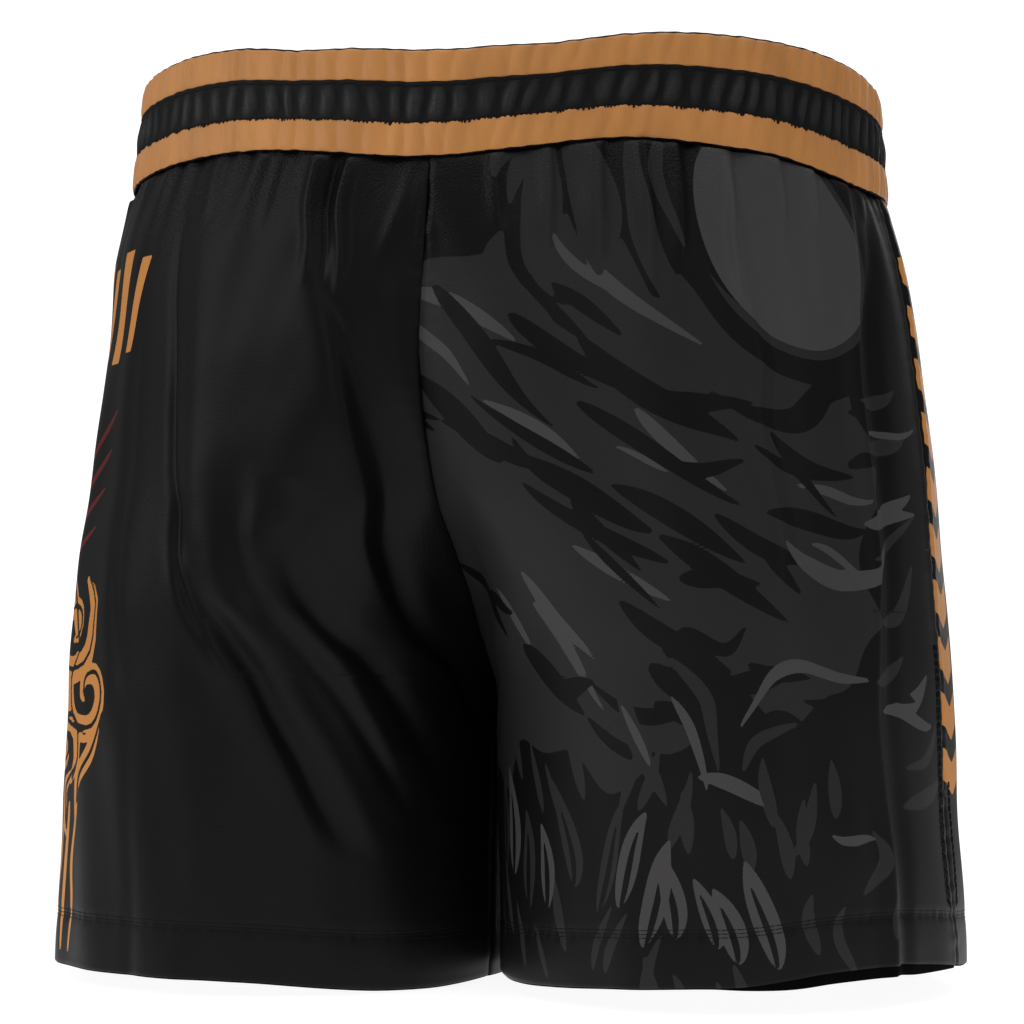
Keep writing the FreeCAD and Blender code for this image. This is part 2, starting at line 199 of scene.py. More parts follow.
# How much higher or lower each leg's hem hangs, by the turn round the leg in degrees.
HEM_RISE = {
    RIGHT: (
        (-180, -150, -100, -50, 0, 25, 45, 60, 75, 90, 105, 115, 124, 134, 146, 163, 180),
        (3.8, 1.5, 0.2, 0.4, -0.8, -1.5, -1.1, 0.2, 1.8, 2.7, 3.2, 5.0, 7.4, 8.4, 9.2, 7.0, 3.8),
    ),
    LEFT: (
        (-180, -140, -100, -55, -22, 0, 7, 15, 27, 44, 59, 73, 87, 119, 150, 180),
        (0.2, 1.0, 0.6, 0.0, -3.6, -5.0, -4.8, -5.4, -6.3, -5.8, -3.4, -1.4, -0.4, 0.0, 0.3, 0.2),
    ),
}
# How far each leg's inner edge hangs towards the middle plane, by height.
INNER_HANG = {
    RIGHT: ((0, 60, 98, 112, 140), (4.6, 3.8, 2.2, 0.3, 0)),
    LEFT: ((0, 60, 98, 112, 140), (5.6, 4.0, 1.7, 0.2, 0)),
}


def hang(points, side, turn, height):
    """Hems that hang unevenly and inner edges that sag towards each other, on points of a leg."""
    degrees = np.degrees(turn)
    angles, rises = HEM_RISE[side]
    fine, eased = eased_round(angles, rises, 4)
    wrapped = np.mod(degrees + 180, 360) - 180
    points[..., 2] += np.interp(wrapped, fine, eased) * smooth((85 - height) / 85)
    places, amounts = INNER_HANG[side]
    points[..., 0] -= side * through(places, amounts, np.clip(height, 0, 140)) * bell(degrees, 48)
    return points


# ---------------------------------------------------------------- folds in the cloth

# Each fold: its line as (turn in degrees, height), its height in millimetres along the line, and its
# half widths towards the inner and the outer side of the leg.
FOLDS = {
    ("left", "back"): [
        (((107, 302), (105, 284), (102, 268), (100, 252)), (2.0, 2.6, 1.8, 0), 1.5, 2.2),
        (((104.5, 302), (102.5, 284), (99, 266), (97, 250)), (-1.8, -2.4, -1.6, 0), 1.3, 1.3),
        (((102, 302), (100, 284), (96, 264), (93.5, 246)), (2.0, 2.6, 1.8, 0), 2.0, 1.5),
        (((114, 300), (113, 285), (112, 270)), (0.9, 0.8, 0), 2.0, 2.0),
        (((126, 300), (125, 288), (124, 276)), (0.8, 0.8, 0), 2.2, 2.2),
        (((92, 300), (91, 285), (90, 262)), (0.7, 0.9, 0), 2.0, 2.0),
        # A crisp crease down the middle of the buttock, with a broad ridge on its inner side.
        (((130, 285), (127, 253), (122, 224), (119, 206), (115, 189),
          (110, 174), (105, 159), (97, 140), (90, 126), (84, 112)),
         (0, -1.1, -1.6, -1.8, -1.8, -1.8, -1.6, -1.3, -0.7, 0), 1.5, 2.2),
        (((123, 285), (120, 253), (115, 224), (111, 200), (106, 180), (98, 155), (88, 130)),
         (0, 0.6, 0.8, 1.0, 1.2, 1.0, 0), 8, 5),
        (((111, 180), (106, 165), (101, 155), (94, 138), (84, 125),
          (75, 111), (69, 95), (63, 80), (58, 65), (50, 45)),
         (0, -1.6, -2.0, -2.6, -3.2, -3.4, -3.4, -3.0, -2.2, 0), 5.5, 4.2),
        (((106, 160), (98, 142), (88, 126), (80, 111), (74, 95), (69, 80), (63, 62), (57, 45)),
         (0, 1.0, 1.6, 1.8, 1.8, 1.6, 1.0, 0), 3.6, 9),
        (((104, 184), (90, 146), (74, 121), (63, 97), (56, 80), (49, 61), (42, 44)),
         (0, 1.4, 2.2, 2.2, 1.8, 1.0, 0), 6, 4.5),
        (((98, 178), (88, 158), (78, 140), (62, 118), (52, 100), (44, 80), (36, 60)),
         (0, -1.2, -1.8, -2.2, -2.2, -1.6, 0), 3.4, 4.2),
        (((97, 190), (93, 179), (86, 159), (77, 140), (64, 124), (55, 111), (48, 95), (38, 75)),
         (0, 0.8, 1.6, 2.2, 2.4, 2.2, 1.6, 0), 5, 4),
        (((88, 184), (82, 171), (77, 155), (63, 132), (49, 117), (38, 97), (28, 72)),
         (0, -1.8, -2.6, -3.2, -3.2, -2.6, -0.6), 6, 4.5),
        # The long fold from the waist to the fork.
        (((102, 266), (97, 248), (92, 235), (86, 215), (80, 196), (71, 175), (60, 153), (48, 134)),
         (0, 1.0, 1.8, 2.3, 2.5, 2.5, 2.0, 0), 2.6, 8),
        (((98, 264), (94, 250), (89, 235), (82, 214), (74, 194),
          (63, 169), (52, 150), (40, 131), (22, 112), (12, 80)),
         (0, -1.4, -2.4, -3.6, -4.4, -4.8, -4.6, -4.2, -3.0, 0), 7.0, 4.2),
        (((89, 262), (84, 243), (77, 220), (69, 200), (61, 180), (52, 161), (40, 140), (22, 104)),
         (0, 1.2, 1.8, 1.8, 1.2, 0.6, 0.3, 0), 6, 5),
        (((150, 250), (150, 200), (147, 150), (141, 100), (139, 50), (139, 0)),
         (0, 1.2, 1.8, 2.0, 1.6, 1.4), 9, 8),
        (((137, 250), (134, 221), (128, 181), (119, 138), (109, 96), (107, 54), (105, 20), (105, 0)),
         (0, -0.8, -0.9, -0.9, -0.7, -0.8, -0.9, -0.9), 4.6, 4.6),
        (((84, 74), (86, 50), (88, 25), (90, 0)), (0, 0.5, 1.0, 1.6), 10, 10),
    ],
    ("right", "back"): [
        (((107, 302), (105, 284), (102, 262)), (2.2, 2.4, 0), 3.4, 1.4),
        (((114, 302), (112, 284), (109, 256)), (2.4, 2.8, 0), 4.6, 1.6),
        (((120.5, 302), (119, 284), (116, 248)), (2.2, 2.6, 0), 3.2, 1.3),
        (((125.5, 302), (124, 284), (121, 256)), (1.8, 2.0, 0), 3.0, 1.4),
        (((100, 302), (98, 288), (96, 268)), (1.3, 1.4, 0), 2.6, 1.6),
        (((86, 300), (86, 280), (85, 262)), (0.9, 0.9, 0), 1.8, 2.2),
        # Fine sharp creases in the print below the band.
        (((134.5, 302), (132.3, 283), (130.5, 266), (130, 244)), (0.8, 1.6, 1.6, 0), 1.5, 1.1),
        (((143.5, 302), (142, 284), (139.5, 268)), (0.8, 1.4, 0), 1.6, 1.1),
        (((151, 303), (149, 286), (145.5, 268)), (1.0, 1.5, 0), 1.8, 1.1),
        # The long upright ridge behind the side seam, with its hollow.
        (((160, 303), (156, 272), (152.5, 244), (150, 218), (149, 186), (148, 161),
          (145, 133), (142.5, 101), (144, 70), (145, 39), (144, 0)),
         (0.6, 1.9, 2.7, 3.0, 3.0, 2.8, 2.3, 1.9, 2.2, 2.6, 2.6), 5.5, 2.2),
        (((166, 292), (162, 272), (157, 246), (155, 218), (154, 186), (153, 161),
          (150, 133), (147.5, 101), (149, 70), (150, 39), (149, 0)),
         (-0.6, -1.4, -1.8, -2.0, -1.8, -1.6, -1.3, -1.2, -1.4, -1.5, -1.5), 2.6, 5),
        (((133, 303), (132, 270), (131, 250), (131, 230), (128, 205), (127, 176), (122, 140)),
         (0.8, 1.2, 1.6, 1.7, 1.6, 1.3, 0), 5.0, 1.6),
        (((135, 280), (134, 250), (134, 230), (131, 205), (130, 176), (125, 140)),
         (0, -0.7, -0.9, -0.9, -0.7, 0), 1.8, 5),
        (((149, 300), (147, 275), (146, 254), (145, 230)), (0.4, 1.0, 0.9, 0), 3.4, 5),
        (((143, 300), (142, 280), (140, 250)), (0, -0.7, 0), 4, 3),
        (((70, 100), (75, 60), (78, 25), (80, 0)), (0, 1.0, 1.7, 2.0), 12, 12),
        (((112, 80), (113, 50), (114, 20), (114, 0)), (0, -0.8, -1.4, -1.8), 13, 13),
        (((92, 70), (94, 45), (95, 20), (96, 0)), (0, -0.5, -1.0, -1.2), 9, 9),
        (((60, 190), (45, 150), (28, 120), (15, 90)), (0, -1.2, -1.4, 0), 6, 8),
        (((75, 200), (64, 160), (50, 128), (38, 96)), (0, 1.0, 1.2, 0), 9, 10),
    ],
    ("left", "front"): [
        (((-100, 285), (-92, 240), (-82, 200), (-62, 160), (-30, 120)), (0, 1.4, 2.4, 2.6, 0), 6, 8),
        (((-92, 280), (-82, 235), (-72, 195), (-50, 156), (-18, 115)), (0, -1.4, -2.6, -3.0, 0), 6, 6),
        (((-118, 300), (-114, 240), (-110, 180), (-100, 120), (-96, 60), (-96, 0)),
         (0.3, 1.4, 2.2, 2.0, 1.6, 1.8), 9, 6),
        (((-130, 290), (-127, 230), (-124, 170), (-118, 110), (-116, 60), (-116, 0)),
         (0, -1.0, -1.8, -1.8, -1.6, -1.8), 6, 8),
        (((-150, 240), (-148, 180), (-146, 120), (-144, 60), (-143, 0)), (0, 1.0, 1.8, 2.0, 2.2), 8, 8),
        (((-70, 110), (-74, 60), (-78, 0)), (0, -1.2, -2.0), 10, 10),
        (((-50, 90), (-54, 50), (-58, 0)), (0, 1.0, 1.8), 10, 10),
    ],
    ("right", "front"): [
        (((-98, 285), (-90, 240), (-80, 200), (-64, 160), (-34, 120)), (0, 1.2, 2.2, 2.4, 0), 6, 8),
        (((-88, 278), (-80, 235), (-70, 195), (-52, 156), (-22, 115)), (0, -1.3, -2.4, -2.8, 0), 6, 6),
        (((-122, 300), (-120, 240), (-116, 180), (-108, 120), (-104, 60), (-104, 0)),
         (0.3, 1.2, 2.0, 2.0, 1.8, 2.0), 6, 9),
        (((-112, 290), (-110, 230), (-105, 170), (-98, 110), (-92, 60), (-92, 0)),
         (0, -0.8, -1.4, -1.6, -1.6, -1.6), 8, 5),
        (((-146, 250), (-146, 190), (-143, 120), (-140, 60), (-139, 0)), (0, 1.2, 1.8, 2.0, 2.2), 8, 9),
        (((-72, 100), (-76, 55), (-80, 0)), (0, 1.0, 1.8), 10, 10),
    ],
}


def fold_field(folds, turn, height):
    """How far the folds lift the cloth at each place."""
    total = np.zeros_like(turn)
    across = turn * AROUND
    for line, rises, inner, outer in folds:
        turns, heights = np.array(line, float).T
        order = np.argsort(heights)
        heights, middle = heights[order], np.radians(turns[order]) * AROUND
        rises = np.array(rises, float)[order]
        centre = through(heights, middle, height)
        slope = (through(heights, middle, height + 1) - through(heights, middle, height - 1)) / 2
        away = (across - centre) / np.sqrt(1 + slope**2)
        outward = away * np.sign(middle.mean())
        width = np.where(outward > 0, outer, inner)
        rise = through(heights, rises, np.clip(height, heights[0], heights[-1]))
        past = np.maximum(heights[0] - height, 0) + np.maximum(height - heights[-1], 0)
        total += rise * bell(away, width) * bell(past, 9)
    return total


def wave(x, phases, lengths, weights):
    """A sum of sines."""
    return sum(w * np.sin(2 * np.pi * x / n + p) for p, n, w in zip(phases, lengths, weights))


def gathers(side, turn, height):
    """Vertical puckers that the elastic draws into the cloth, fading down from the waist seam."""
    rng = np.random.default_rng(11 if side == RIGHT else 23)
    across = turn * AROUND
    drop = np.maximum(SEAM - height, 0)
    total = 0
    for low, high, amount, fade in ((7, 12, 0.34, 11), (14, 24, 0.62, 26), (30, 48, 0.9, 55)):
        lengths = rng.uniform(low, high, 5)
        phases = rng.uniform(0, 2 * np.pi, 5)
        bent = across + 0.05 * drop * np.sin(across / 31)
        total = total + amount / 2 * wave(bent, phases, lengths, [1] * 5) * np.exp(-drop / fade)
    return total


def panel_relief(side, place, turn, height, edge_inner, edge_side):
    """How far the cloth stands out from its form, with the distances to its two seams in millimetres."""
    total = fold_field(FOLDS["right" if side == RIGHT else "left", place], turn, height)
    total += gathers(side, turn, height)
    rng = np.random.default_rng((5 if side == RIGHT else 6) + (10 if place == "front" else 0))

    def phases():
        return rng.uniform(0, 6.28, 3)

    across = turn * AROUND
    low = smooth((95 - height) / 95)
    total += low * 0.55 * wave(across + 0.15 * height, phases(), rng.uniform(45, 90, 3), (1, 0.8, 0.6))
    total += 0.28 * wave(across - 0.3 * height, phases(), rng.uniform(34, 75, 3), (1, 0.7, 0.6))
    total += 0.16 * wave(height + 0.4 * across, phases(), rng.uniform(40, 90, 3), (1, 0.7, 0.6))
    # The legs must not meet below the crotch.
    near_fork = bell(np.minimum(edge_inner, 40), 22) * smooth((135 - height) / 30)
    total = total * (1 - 0.75 * near_fork)
    # Pulled in along the seams, with small puckers beside the stitching.
    rise = smooth((height - CROTCH + 6) / 20)
    groove = -1.0 * bell(edge_inner, 1.5) * rise - 0.5 * bell(edge_inner, 1.4) * (1 - rise)
    if place == "back":
        cleft = smooth((height - 118) / 30) * smooth((292 - height) / 60)
        groove += -2.2 * bell(edge_inner, 5.5) * cleft - 5.0 * bell(edge_inner, 24) * cleft
    else:
        groove += -1.4 * bell(edge_inner, 9) * smooth((height - 118) / 30) * smooth((296 - height) / 50)
    total += groove
    total += -0.85 * bell(edge_side, 1.5) + 0.35 * bell(edge_side - 3.2, 2.6)
    pucker = wave(height, phases(), (6.3, 9.1, 14.7), (1, 0.8, 0.8))
    total += pucker * (0.10 * bell(edge_side, 7) + 0.08 * bell(edge_inner, 6))
    # The hem's stitching draws a shallow groove.
    rows = bell(height - 19.6, 2.2)
    total += -0.28 * rows + 0.10 * rows * wave(across, phases(), (5.1, 7.7, 12.1), (1, 0.8, 0.7))
    total += 0.22 * bell(height - 9, 7)
    # Held flat where the waistband covers the edge, and kept clear of the elastic.
    total -= 0.5 * bell(height - SEAM, 3.2)
    total -= 0.5 * bell(height - SEAM + 0.6, 0.8)
    return np.where(height > SEAM - 1.5, np.minimum(total, -0.35), total)


# ---------------------------------------------------------------- meshes


def make(name, verts, faces, materials, attributes=None, uv=None, slots=None):
    """A smooth mesh object from points in millimetres. Slots pick one of the materials for each face."""
    verts = np.asarray(verts, float).reshape(-1, 3) * MM
    faces = np.asarray(faces, np.int32)
    mesh = bpy.data.meshes.new(name)
    mesh.vertices.add(len(verts))
    mesh.vertices.foreach_set("co", verts.astype(np.float32).ravel())
    corners = faces.shape[1]
    mesh.loops.add(faces.size)
    mesh.loops.foreach_set("vertex_index", faces.ravel())
    mesh.polygons.add(len(faces))
    mesh.polygons.foreach_set("loop_start", np.arange(0, faces.size, corners, dtype=np.int32))
    mesh.polygons.foreach_set("use_smooth", np.full(len(faces), True))
    if slots is not None:
        mesh.polygons.foreach_set("material_index", np.asarray(slots, np.int32))
    mesh.update(calc_edges=True)
    mesh.validate()
    for key, values in (attributes or {}).items():
        layer = mesh.attributes.new(key, "FLOAT", "POINT")
        layer.data.foreach_set("value", np.asarray(values, np.float32).ravel())
    if uv is not None:
        layer = mesh.uv_layers.new(name="Cloth")
        flat = np.asarray(uv, np.float32).reshape(-1, 2)
        layer.data.foreach_set("uv", flat[faces.ravel()].ravel())
    for material in materials:
        mesh.materials.append(material)
    thing = bpy.data.objects.new(name, mesh)
    bpy.context.scene.collection.objects.link(thing)
    return thing


def grid_faces(rows, columns, closed=False, flip=False):
    """Quads of a rows x columns grid of points, joined round if closed."""
    r = np.arange(rows - 1)[:, None]
    c = np.arange(columns if closed else columns - 1)[None, :]
    n = (c + 1) % columns
    quads = np.stack([r * columns + c, r * columns + n, (r + 1) * columns + n, (r + 1) * columns + c], -1)
    quads = quads.reshape(-1, 4)
    return quads[:, ::-1] if flip else quads


def joined(parts):
    """One mesh from several pairs of points and faces."""
    verts, faces, count = [], [], 0
    for v, f in parts:
        verts.append(v)
        faces.append(f + count)
        count += len(v)
    return np.concatenate(verts), np.concatenate(faces)


def thicken(thing, thickness, inner_material=None):
    """Gives an open sheet its thickness, evenly to both sides."""
    solid = thing.modifiers.new("Cloth thickness", "SOLIDIFY")
    solid.thickness = thickness * MM
    solid.offset = 0
    solid.use_even_offset = False
    if inner_material is not None:
        thing.data.materials.append(inner_material)
        solid.material_offset = len(thing.data.materials) - 1
    graph = bpy.context.evaluated_depsgraph_get()
    thick = thing.evaluated_get(graph)
    mesh = bpy.data.meshes.new_from_object(thick, preserve_all_data_layers=True, depsgraph=graph)
    thing.modifiers.clear()
    old, thing.data = thing.data, mesh
    name = old.name
    bpy.data.meshes.remove(old)
    mesh.name = name


def declare(thing, slot, *nodes):
    """Names the body that a piece rides on and hides the CAD nodes that it replaces. The slot is not used."""
    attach(thing, "root")
    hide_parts(*nodes)


# ---------------------------------------------------------------- materials


class Nodes:
    """Short names for building a material's node tree."""

    def __init__(self, name):
        self.material = bpy.data.materials.new(name)
        self.material.use_nodes = True
        self.tree = self.material.node_tree
        self.tree.nodes.clear()
        self.shader = self.node("ShaderNodeBsdfPrincipled")
        self.link(self.shader.outputs[0], self.node("ShaderNodeOutputMaterial").inputs["Surface"])

    def link(self, a, b):
        self.tree.links.new(a, b)

    def node(self, kind, **settings):
        made = self.tree.nodes.new(kind)
        for key, value in settings.items():
            setattr(made, key, value)
        return made

    def put(self, socket, value):
        if isinstance(value, bpy.types.NodeSocket):
            self.link(value, socket)
        else:
            socket.default_value = value

    def math(self, operation, *values):
        made = self.node("ShaderNodeMath", operation=operation)
        for socket, value in zip(made.inputs, values):
            self.put(socket, value)
        return made.outputs[0]

    def place(self):
        """Places in the object's own space, in metres."""
        return self.node("ShaderNodeTexCoord").outputs["Object"]

    def uv(self, scale=(1, 1, 1), turn=0.0):
        """Places along the cloth, in metres."""
        mapping = self.node("ShaderNodeMapping")
        mapping.inputs["Scale"].default_value = scale
        mapping.inputs["Rotation"].default_value = (0, 0, turn)
        self.link(self.node("ShaderNodeUVMap", uv_map="Cloth").outputs[0], mapping.inputs[0])
        return mapping.outputs[0]

    def noise(self, vector, scale, detail=2.0):
        made = self.node("ShaderNodeTexNoise")
        self.link(vector, made.inputs["Vector"])
        made.inputs["Scale"].default_value = scale
        made.inputs["Detail"].default_value = detail
        return made.outputs[0]

    def waves(self, vector, scale, direction):
        made = self.node("ShaderNodeTexWave", bands_direction=direction)
        self.link(vector, made.inputs["Vector"])
        made.inputs["Scale"].default_value = scale
        made.inputs["Distortion"].default_value = 0
        return made.outputs[1]

    def remap(self, value, low, high, to_low=0.0, to_high=1.0):
        made = self.node("ShaderNodeMapRange")
        for key, number in (("From Min", low), ("From Max", high), ("To Min", to_low), ("To Max", to_high)):
            made.inputs[key].default_value = number
        self.put(made.inputs["Value"], value)
        return made.outputs[0]

    def mix(self, factor, a, b):
        made = self.node("ShaderNodeMix", data_type="RGBA")
        for socket, value in ((0, factor), (6, a), (7, b)):
            self.put(made.inputs[socket], value)
        return made.outputs[2]

    def attribute(self, name):
        return self.node("ShaderNodeAttribute", attribute_name=name).outputs["Fac"]

    def bump(self, height, strength, distance, normal=None):
        made = self.node("ShaderNodeBump")
        self.put(made.inputs["Strength"], strength)
        made.inputs["Distance"].default_value = distance
        self.link(height, made.inputs["Height"])
        if normal is not None:
            self.link(normal, made.inputs["Normal"])
        return made.outputs[0]

    def finish(self, tone, roughness, normal=None, **constants):
        self.put(self.shader.inputs["Base Color"], tone)
        self.put(self.shader.inputs["Roughness"], roughness)
        if normal is not None:
            self.link(normal, self.shader.inputs["Normal"])
        for key, value in constants.items():
            self.shader.inputs[key.replace("_", " ")].default_value = value
        return self.material


def colour(r, g, b):
    return (r, g, b, 1.0)


def shade(base, share):
    """A colour made darker or lighter."""
    return colour(*[part * share for part in base[:3]])


GOLD = colour(0.595, 0.249, 0.064)
BLACK = colour(0.0031, 0.0031, 0.0032)
# The inks, by the point attribute that holds each one's distance from its edge.
INKS = {
    "print_mid": colour(0.0200, 0.0194, 0.0196),
    "print_light": colour(0.058, 0.055, 0.057),
    "print_red": colour(0.11, 0.010, 0.012),
    "print_gold": GOLD,
}
# How fine each texture is: the satin's weave, ink edge, crumple and clouding, then tape and thread.
TWILL, WEFT, INK_GRAIN, CRUMPLE, CLOUDS = 350.0, 420.0, 900.0, 1400.0, 14.0
RIBS, TAPE_WEFT, TAPE_CRUMPLE, THREAD_TWIST = 480.0, 640.0, 1300.0, 900.0


def satin(name, printed=False, base=BLACK, rough=0.44, gloss=0.125):
    """Light woven polyester: a fine twill with a soft gloss, printed on its outer face."""
    n = Nodes(name)
    weave = n.math("MULTIPLY", n.waves(n.uv(turn=0.9), TWILL, "X"), n.waves(n.uv(), WEFT, "Y"))
    cloudy = n.remap(n.noise(n.place(), CLOUDS, 3.0), 0.3, 0.7)
    grain = n.remap(n.noise(n.uv(), INK_GRAIN), 0.3, 0.7, -0.05, 0.05)
    tone = n.mix(cloudy, shade(base, 0.88), shade(base, 1.14))
    roughness = n.remap(cloudy, 0, 1, rough - 0.03, rough + 0.04)
    relief = n.bump(weave, 0.25, 0.00012)
    relief = n.bump(n.noise(n.uv(), 260.0), 0.12, 0.0004, relief)
    if printed:
        for attribute, ink in INKS.items():
            cover = n.remap(n.math("ADD", n.attribute(attribute), grain), 0.10, -0.10)
            tone = n.mix(cover, tone, n.mix(cloudy, shade(ink, 0.9), ink))
        # Crumpled, and glossier, where the elastic gathers it.
        gathered = n.attribute("gathered")
        relief = n.bump(n.noise(n.uv(), CRUMPLE, 1.0), n.math("MULTIPLY", gathered, 0.4), 0.0008, relief)
        roughness = n.math("ADD", roughness, n.math("MULTIPLY", gathered, -0.08))
    return n.finish(tone, roughness, relief, Specular_IOR_Level=gloss)


def ribbed(name, base, rough, relief=0.3, grain=0.0, **constants):
    """Woven elastic tape: fine upright ribs crossed by weft."""
    n = Nodes(name)
    ribs, weft = n.waves(n.uv(), RIBS, "X"), n.waves(n.uv(), TAPE_WEFT, "Y")
    weave = n.math("ADD", n.math("MULTIPLY", ribs, 0.7), n.math("MULTIPLY", weft, 0.3))
    cloudy = n.remap(n.noise(n.uv((1, 0.4, 1)), 60.0, 3.0), 0.3, 0.7)
    tone = n.mix(cloudy, shade(base, 0.86), shade(base, 1.1))
    # Painted shade: the tone goes up to a tenth of the way to black in the furrows of the weave.
    tone = n.mix(n.remap(weave, 0.0, 1.0, 0.10, 0.0), tone, colour(0, 0, 0))
    normal = n.bump(weave, relief, 0.00015)
    roughness = n.remap(cloudy, 0, 1, rough - 0.04, rough + 0.04)
    if grain:
        # Glossy on the crests of the pleats and dull between them. The colour, too, goes from the tape's tone on the
        # crests to nearly black between them: painted highlight and painted shade on the pleats.
        normal = n.bump(n.noise(n.uv(), TAPE_CRUMPLE), grain, 0.0005, normal)
        uneven = n.remap(n.noise(n.uv(), 1500.0), 0.35, 0.65, 0.6, 1.15)
        crest_gloss_and_shade = n.math("MULTIPLY", n.remap(n.attribute("crest_gloss_and_shade"), 0.15, 0.85), uneven)
        roughness = n.math("ADD", roughness, n.math("MULTIPLY", crest_gloss_and_shade, -0.3))
        # Painted shade: nearly black in the valleys between the pleats, the tape's own tone on their crests.
        tone = n.mix(crest_gloss_and_shade, colour(0.0005, 0.0005, 0.0006), tone)
    return n.finish(tone, roughness, normal, **constants)


def thread_material(name, base):
    """Twisted polyester thread."""
    n = Nodes(name)
    twist = n.waves(n.place(), THREAD_TWIST, "DIAGONAL")
    # Painted shade: the thread is a quarter darker in the grooves of its twist.
    return n.finish(n.mix(twist, shade(base, 0.75), base), 0.6, n.bump(twist, 0.3, 0.0001), Specular_IOR_Level=0.15)


cloth_plain = satin("Black satin")
cloth_print = satin("Printed satin", printed=True)
# The turned-up hem layer: the cloth's matte wrong side, with its colour painted darker than the outer cloth as the
# shade under the hem's fold.
wrong_side_with_painted_shade = satin("Wrong side of the cloth with painted shade", base=colour(0.0016, 0.0016, 0.0017), rough=0.8, gloss=0.02)
pocket_cloth = satin("Pocket cloth", base=colour(0.008, 0.008, 0.0085), rough=0.6)
gold_tape = ribbed("Gold elastic tape", GOLD, 0.46, Specular_IOR_Level=0.35, Sheen_Weight=0.15, Sheen_Roughness=0.4)
# The tape's colour is the tone of its pleats' crests, painted lighter than black as highlight; ribbed paints the
# valleys nearly black as shade.
black_tape = ribbed(
    "Black elastic tape", colour(0.0210, 0.0210, 0.0218), 0.70, relief=0.10, grain=0.4, Specular_IOR_Level=0.2
)
facing_cloth = ribbed("Facing tape", colour(0.0045, 0.0045, 0.0047), 0.6, Specular_IOR_Level=0.12)
elastic_cloth = ribbed("Rubber-cored elastic", colour(0.55, 0.55, 0.53), 0.7)
label_satin = ribbed("Label satin", colour(0.62, 0.60, 0.56), 0.5)
thread_black = thread_material("Black thread", colour(0.0022, 0.0022, 0.0024))
thread_overlock = thread_material("Overlock thread", colour(0.012, 0.012, 0.013))


# ---------------------------------------------------------------- printed pattern

FAR = 6.0  # where nothing is printed, in millimetres from the nearest edge


def stroke(points, line, width, start=0.0, lean=0.5):
    """Signed distance, negative inside, to a tapering stroke along a smooth line of points.

    Width is its greatest half width, start the share of it at both ends, and lean where it is greatest.
    """
    line = np.array(line, float)
    places = np.linspace(0, 1, len(line))
    fine = np.linspace(0, 1, 26)
    spine = np.stack([through(places, line[:, k], fine) for k in range(2)], -1)
    peak = fine ** math.log(0.5, lean)
    widths = width * (start + (1 - start) * np.sin(np.pi * peak) ** 0.8) - (0.5 if start == 0 else 0)
    widths = np.where(widths < 0.4, -0.9, widths)  # tips thinner than the mesh would break into dots
    result = np.full(points.shape[:-1], FAR)
    reach = width + FAR
    near = np.all((points > spine.min(0) - reach) & (points < spine.max(0) + reach), -1)
    p = points[near]
    if not len(p):
        return result
    best = np.full(len(p), FAR)
    for a, b, wa, wb in zip(spine, spine[1:], widths, widths[1:]):
        d = b - a
        t = np.clip(((p - a) @ d) / (d @ d + 1e-9), 0, 1)
        best = np.minimum(best, np.linalg.norm(p - a - t[:, None] * d, axis=1) - (wa + (wb - wa) * t))
    result[near] = best
    return result


def strokes(points, *shapes):
    return [stroke(points, *shape) for shape in shapes]


def union(*fields):
    return np.minimum.reduce(fields)


def no_print(points):
    return {ink: np.full(points.shape[:-1], FAR) for ink in INKS}


def ripple(points):
    """Bends straight shapes a little, as brush strokes are."""
    across, height = points[..., 0], points[..., 1]
    side = 2.6 * np.sin(height / 21 + 1.3) + 1.3 * np.sin(height / 8.3 + across / 21)
    up = 2.4 * np.sin(across / 18 + 0.4) + 1.2 * np.sin(across / 7.4 + height / 17)
    return points + np.stack([side, up], -1)


MOON = np.array([259.0, 272.0])  # its middle: across and height
MOON_HALF = (29, 40.5)  # its half width and half height
MOON_RIM = 35  # distances from it are stretched so that its rim is a circle of this radius
# Places where the grey ground is left plain: middle across, middle height, half width, half height.
CALM = ((112, 172, 42, 36), (236, 134, 34, 19))


def from_moon(points, aside=(0, 0)):
    """The stretched distance of each point from the moon's middle, or from a place aside of it."""
    return MOON_RIM * np.linalg.norm((points - MOON + aside) / MOON_HALF, axis=-1)


def arc(rng, radius, start, length, drift):
    """A line that sweeps round the moon from an angle, in radians, drifting outwards."""
    steps = np.linspace(0, 1, 7)
    angles = start + steps * length / radius
    radii = radius + drift * steps + rng.uniform(-3, 3) * np.sin(steps * 5)
    return MOON + np.stack([radii * np.cos(angles), radii * np.sin(angles)], -1)


def feathers(points, rng):
    """Feathers in rings round the moon: dark ones that cut into the grey, and lighter ones."""
    dark, light = [], []
    radius = 49.0
    while radius < 225:
        start = math.radians(rng.uniform(138, 158))
        finish = math.radians(304 if radius < 150 else 272)
        while start < finish:
            length = rng.uniform(28, 66)
            kind, fat, lean = rng.uniform(), rng.uniform(3.0, 6.4), rng.uniform(0.3, 0.6)
            run = length * (0.7 if kind > 0.7 else 1)
            line = arc(rng, radius + rng.uniform(-2, 2), start, run, rng.uniform(-14, 14))
            branch, twist = rng.uniform() < 0.55, rng.choice([-16, 15])
            middle = line[3]
            calm = any(np.hypot((middle[0] - x) / wide, (middle[1] - z) / tall) < 1 for x, z, wide, tall in CALM)
            if not calm and kind < 0.7:
                dark.append(stroke(points, line, fat, 0.0, lean))
                if branch:
                    fork = arc(rng, radius + 3, start + 0.4 * length / radius, length * 0.6, twist)
                    dark.append(stroke(points, fork, fat * 0.7, 0.0, 0.4))
            elif not calm and kind < 0.9 and middle[1] < 256:
                light.append(stroke(points, line, fat * 0.62, 0.0, lean))
            start += (length * 0.9 + rng.uniform(0, 10)) / radius
        radius += rng.uniform(8.5, 11.5)
    return dark, light


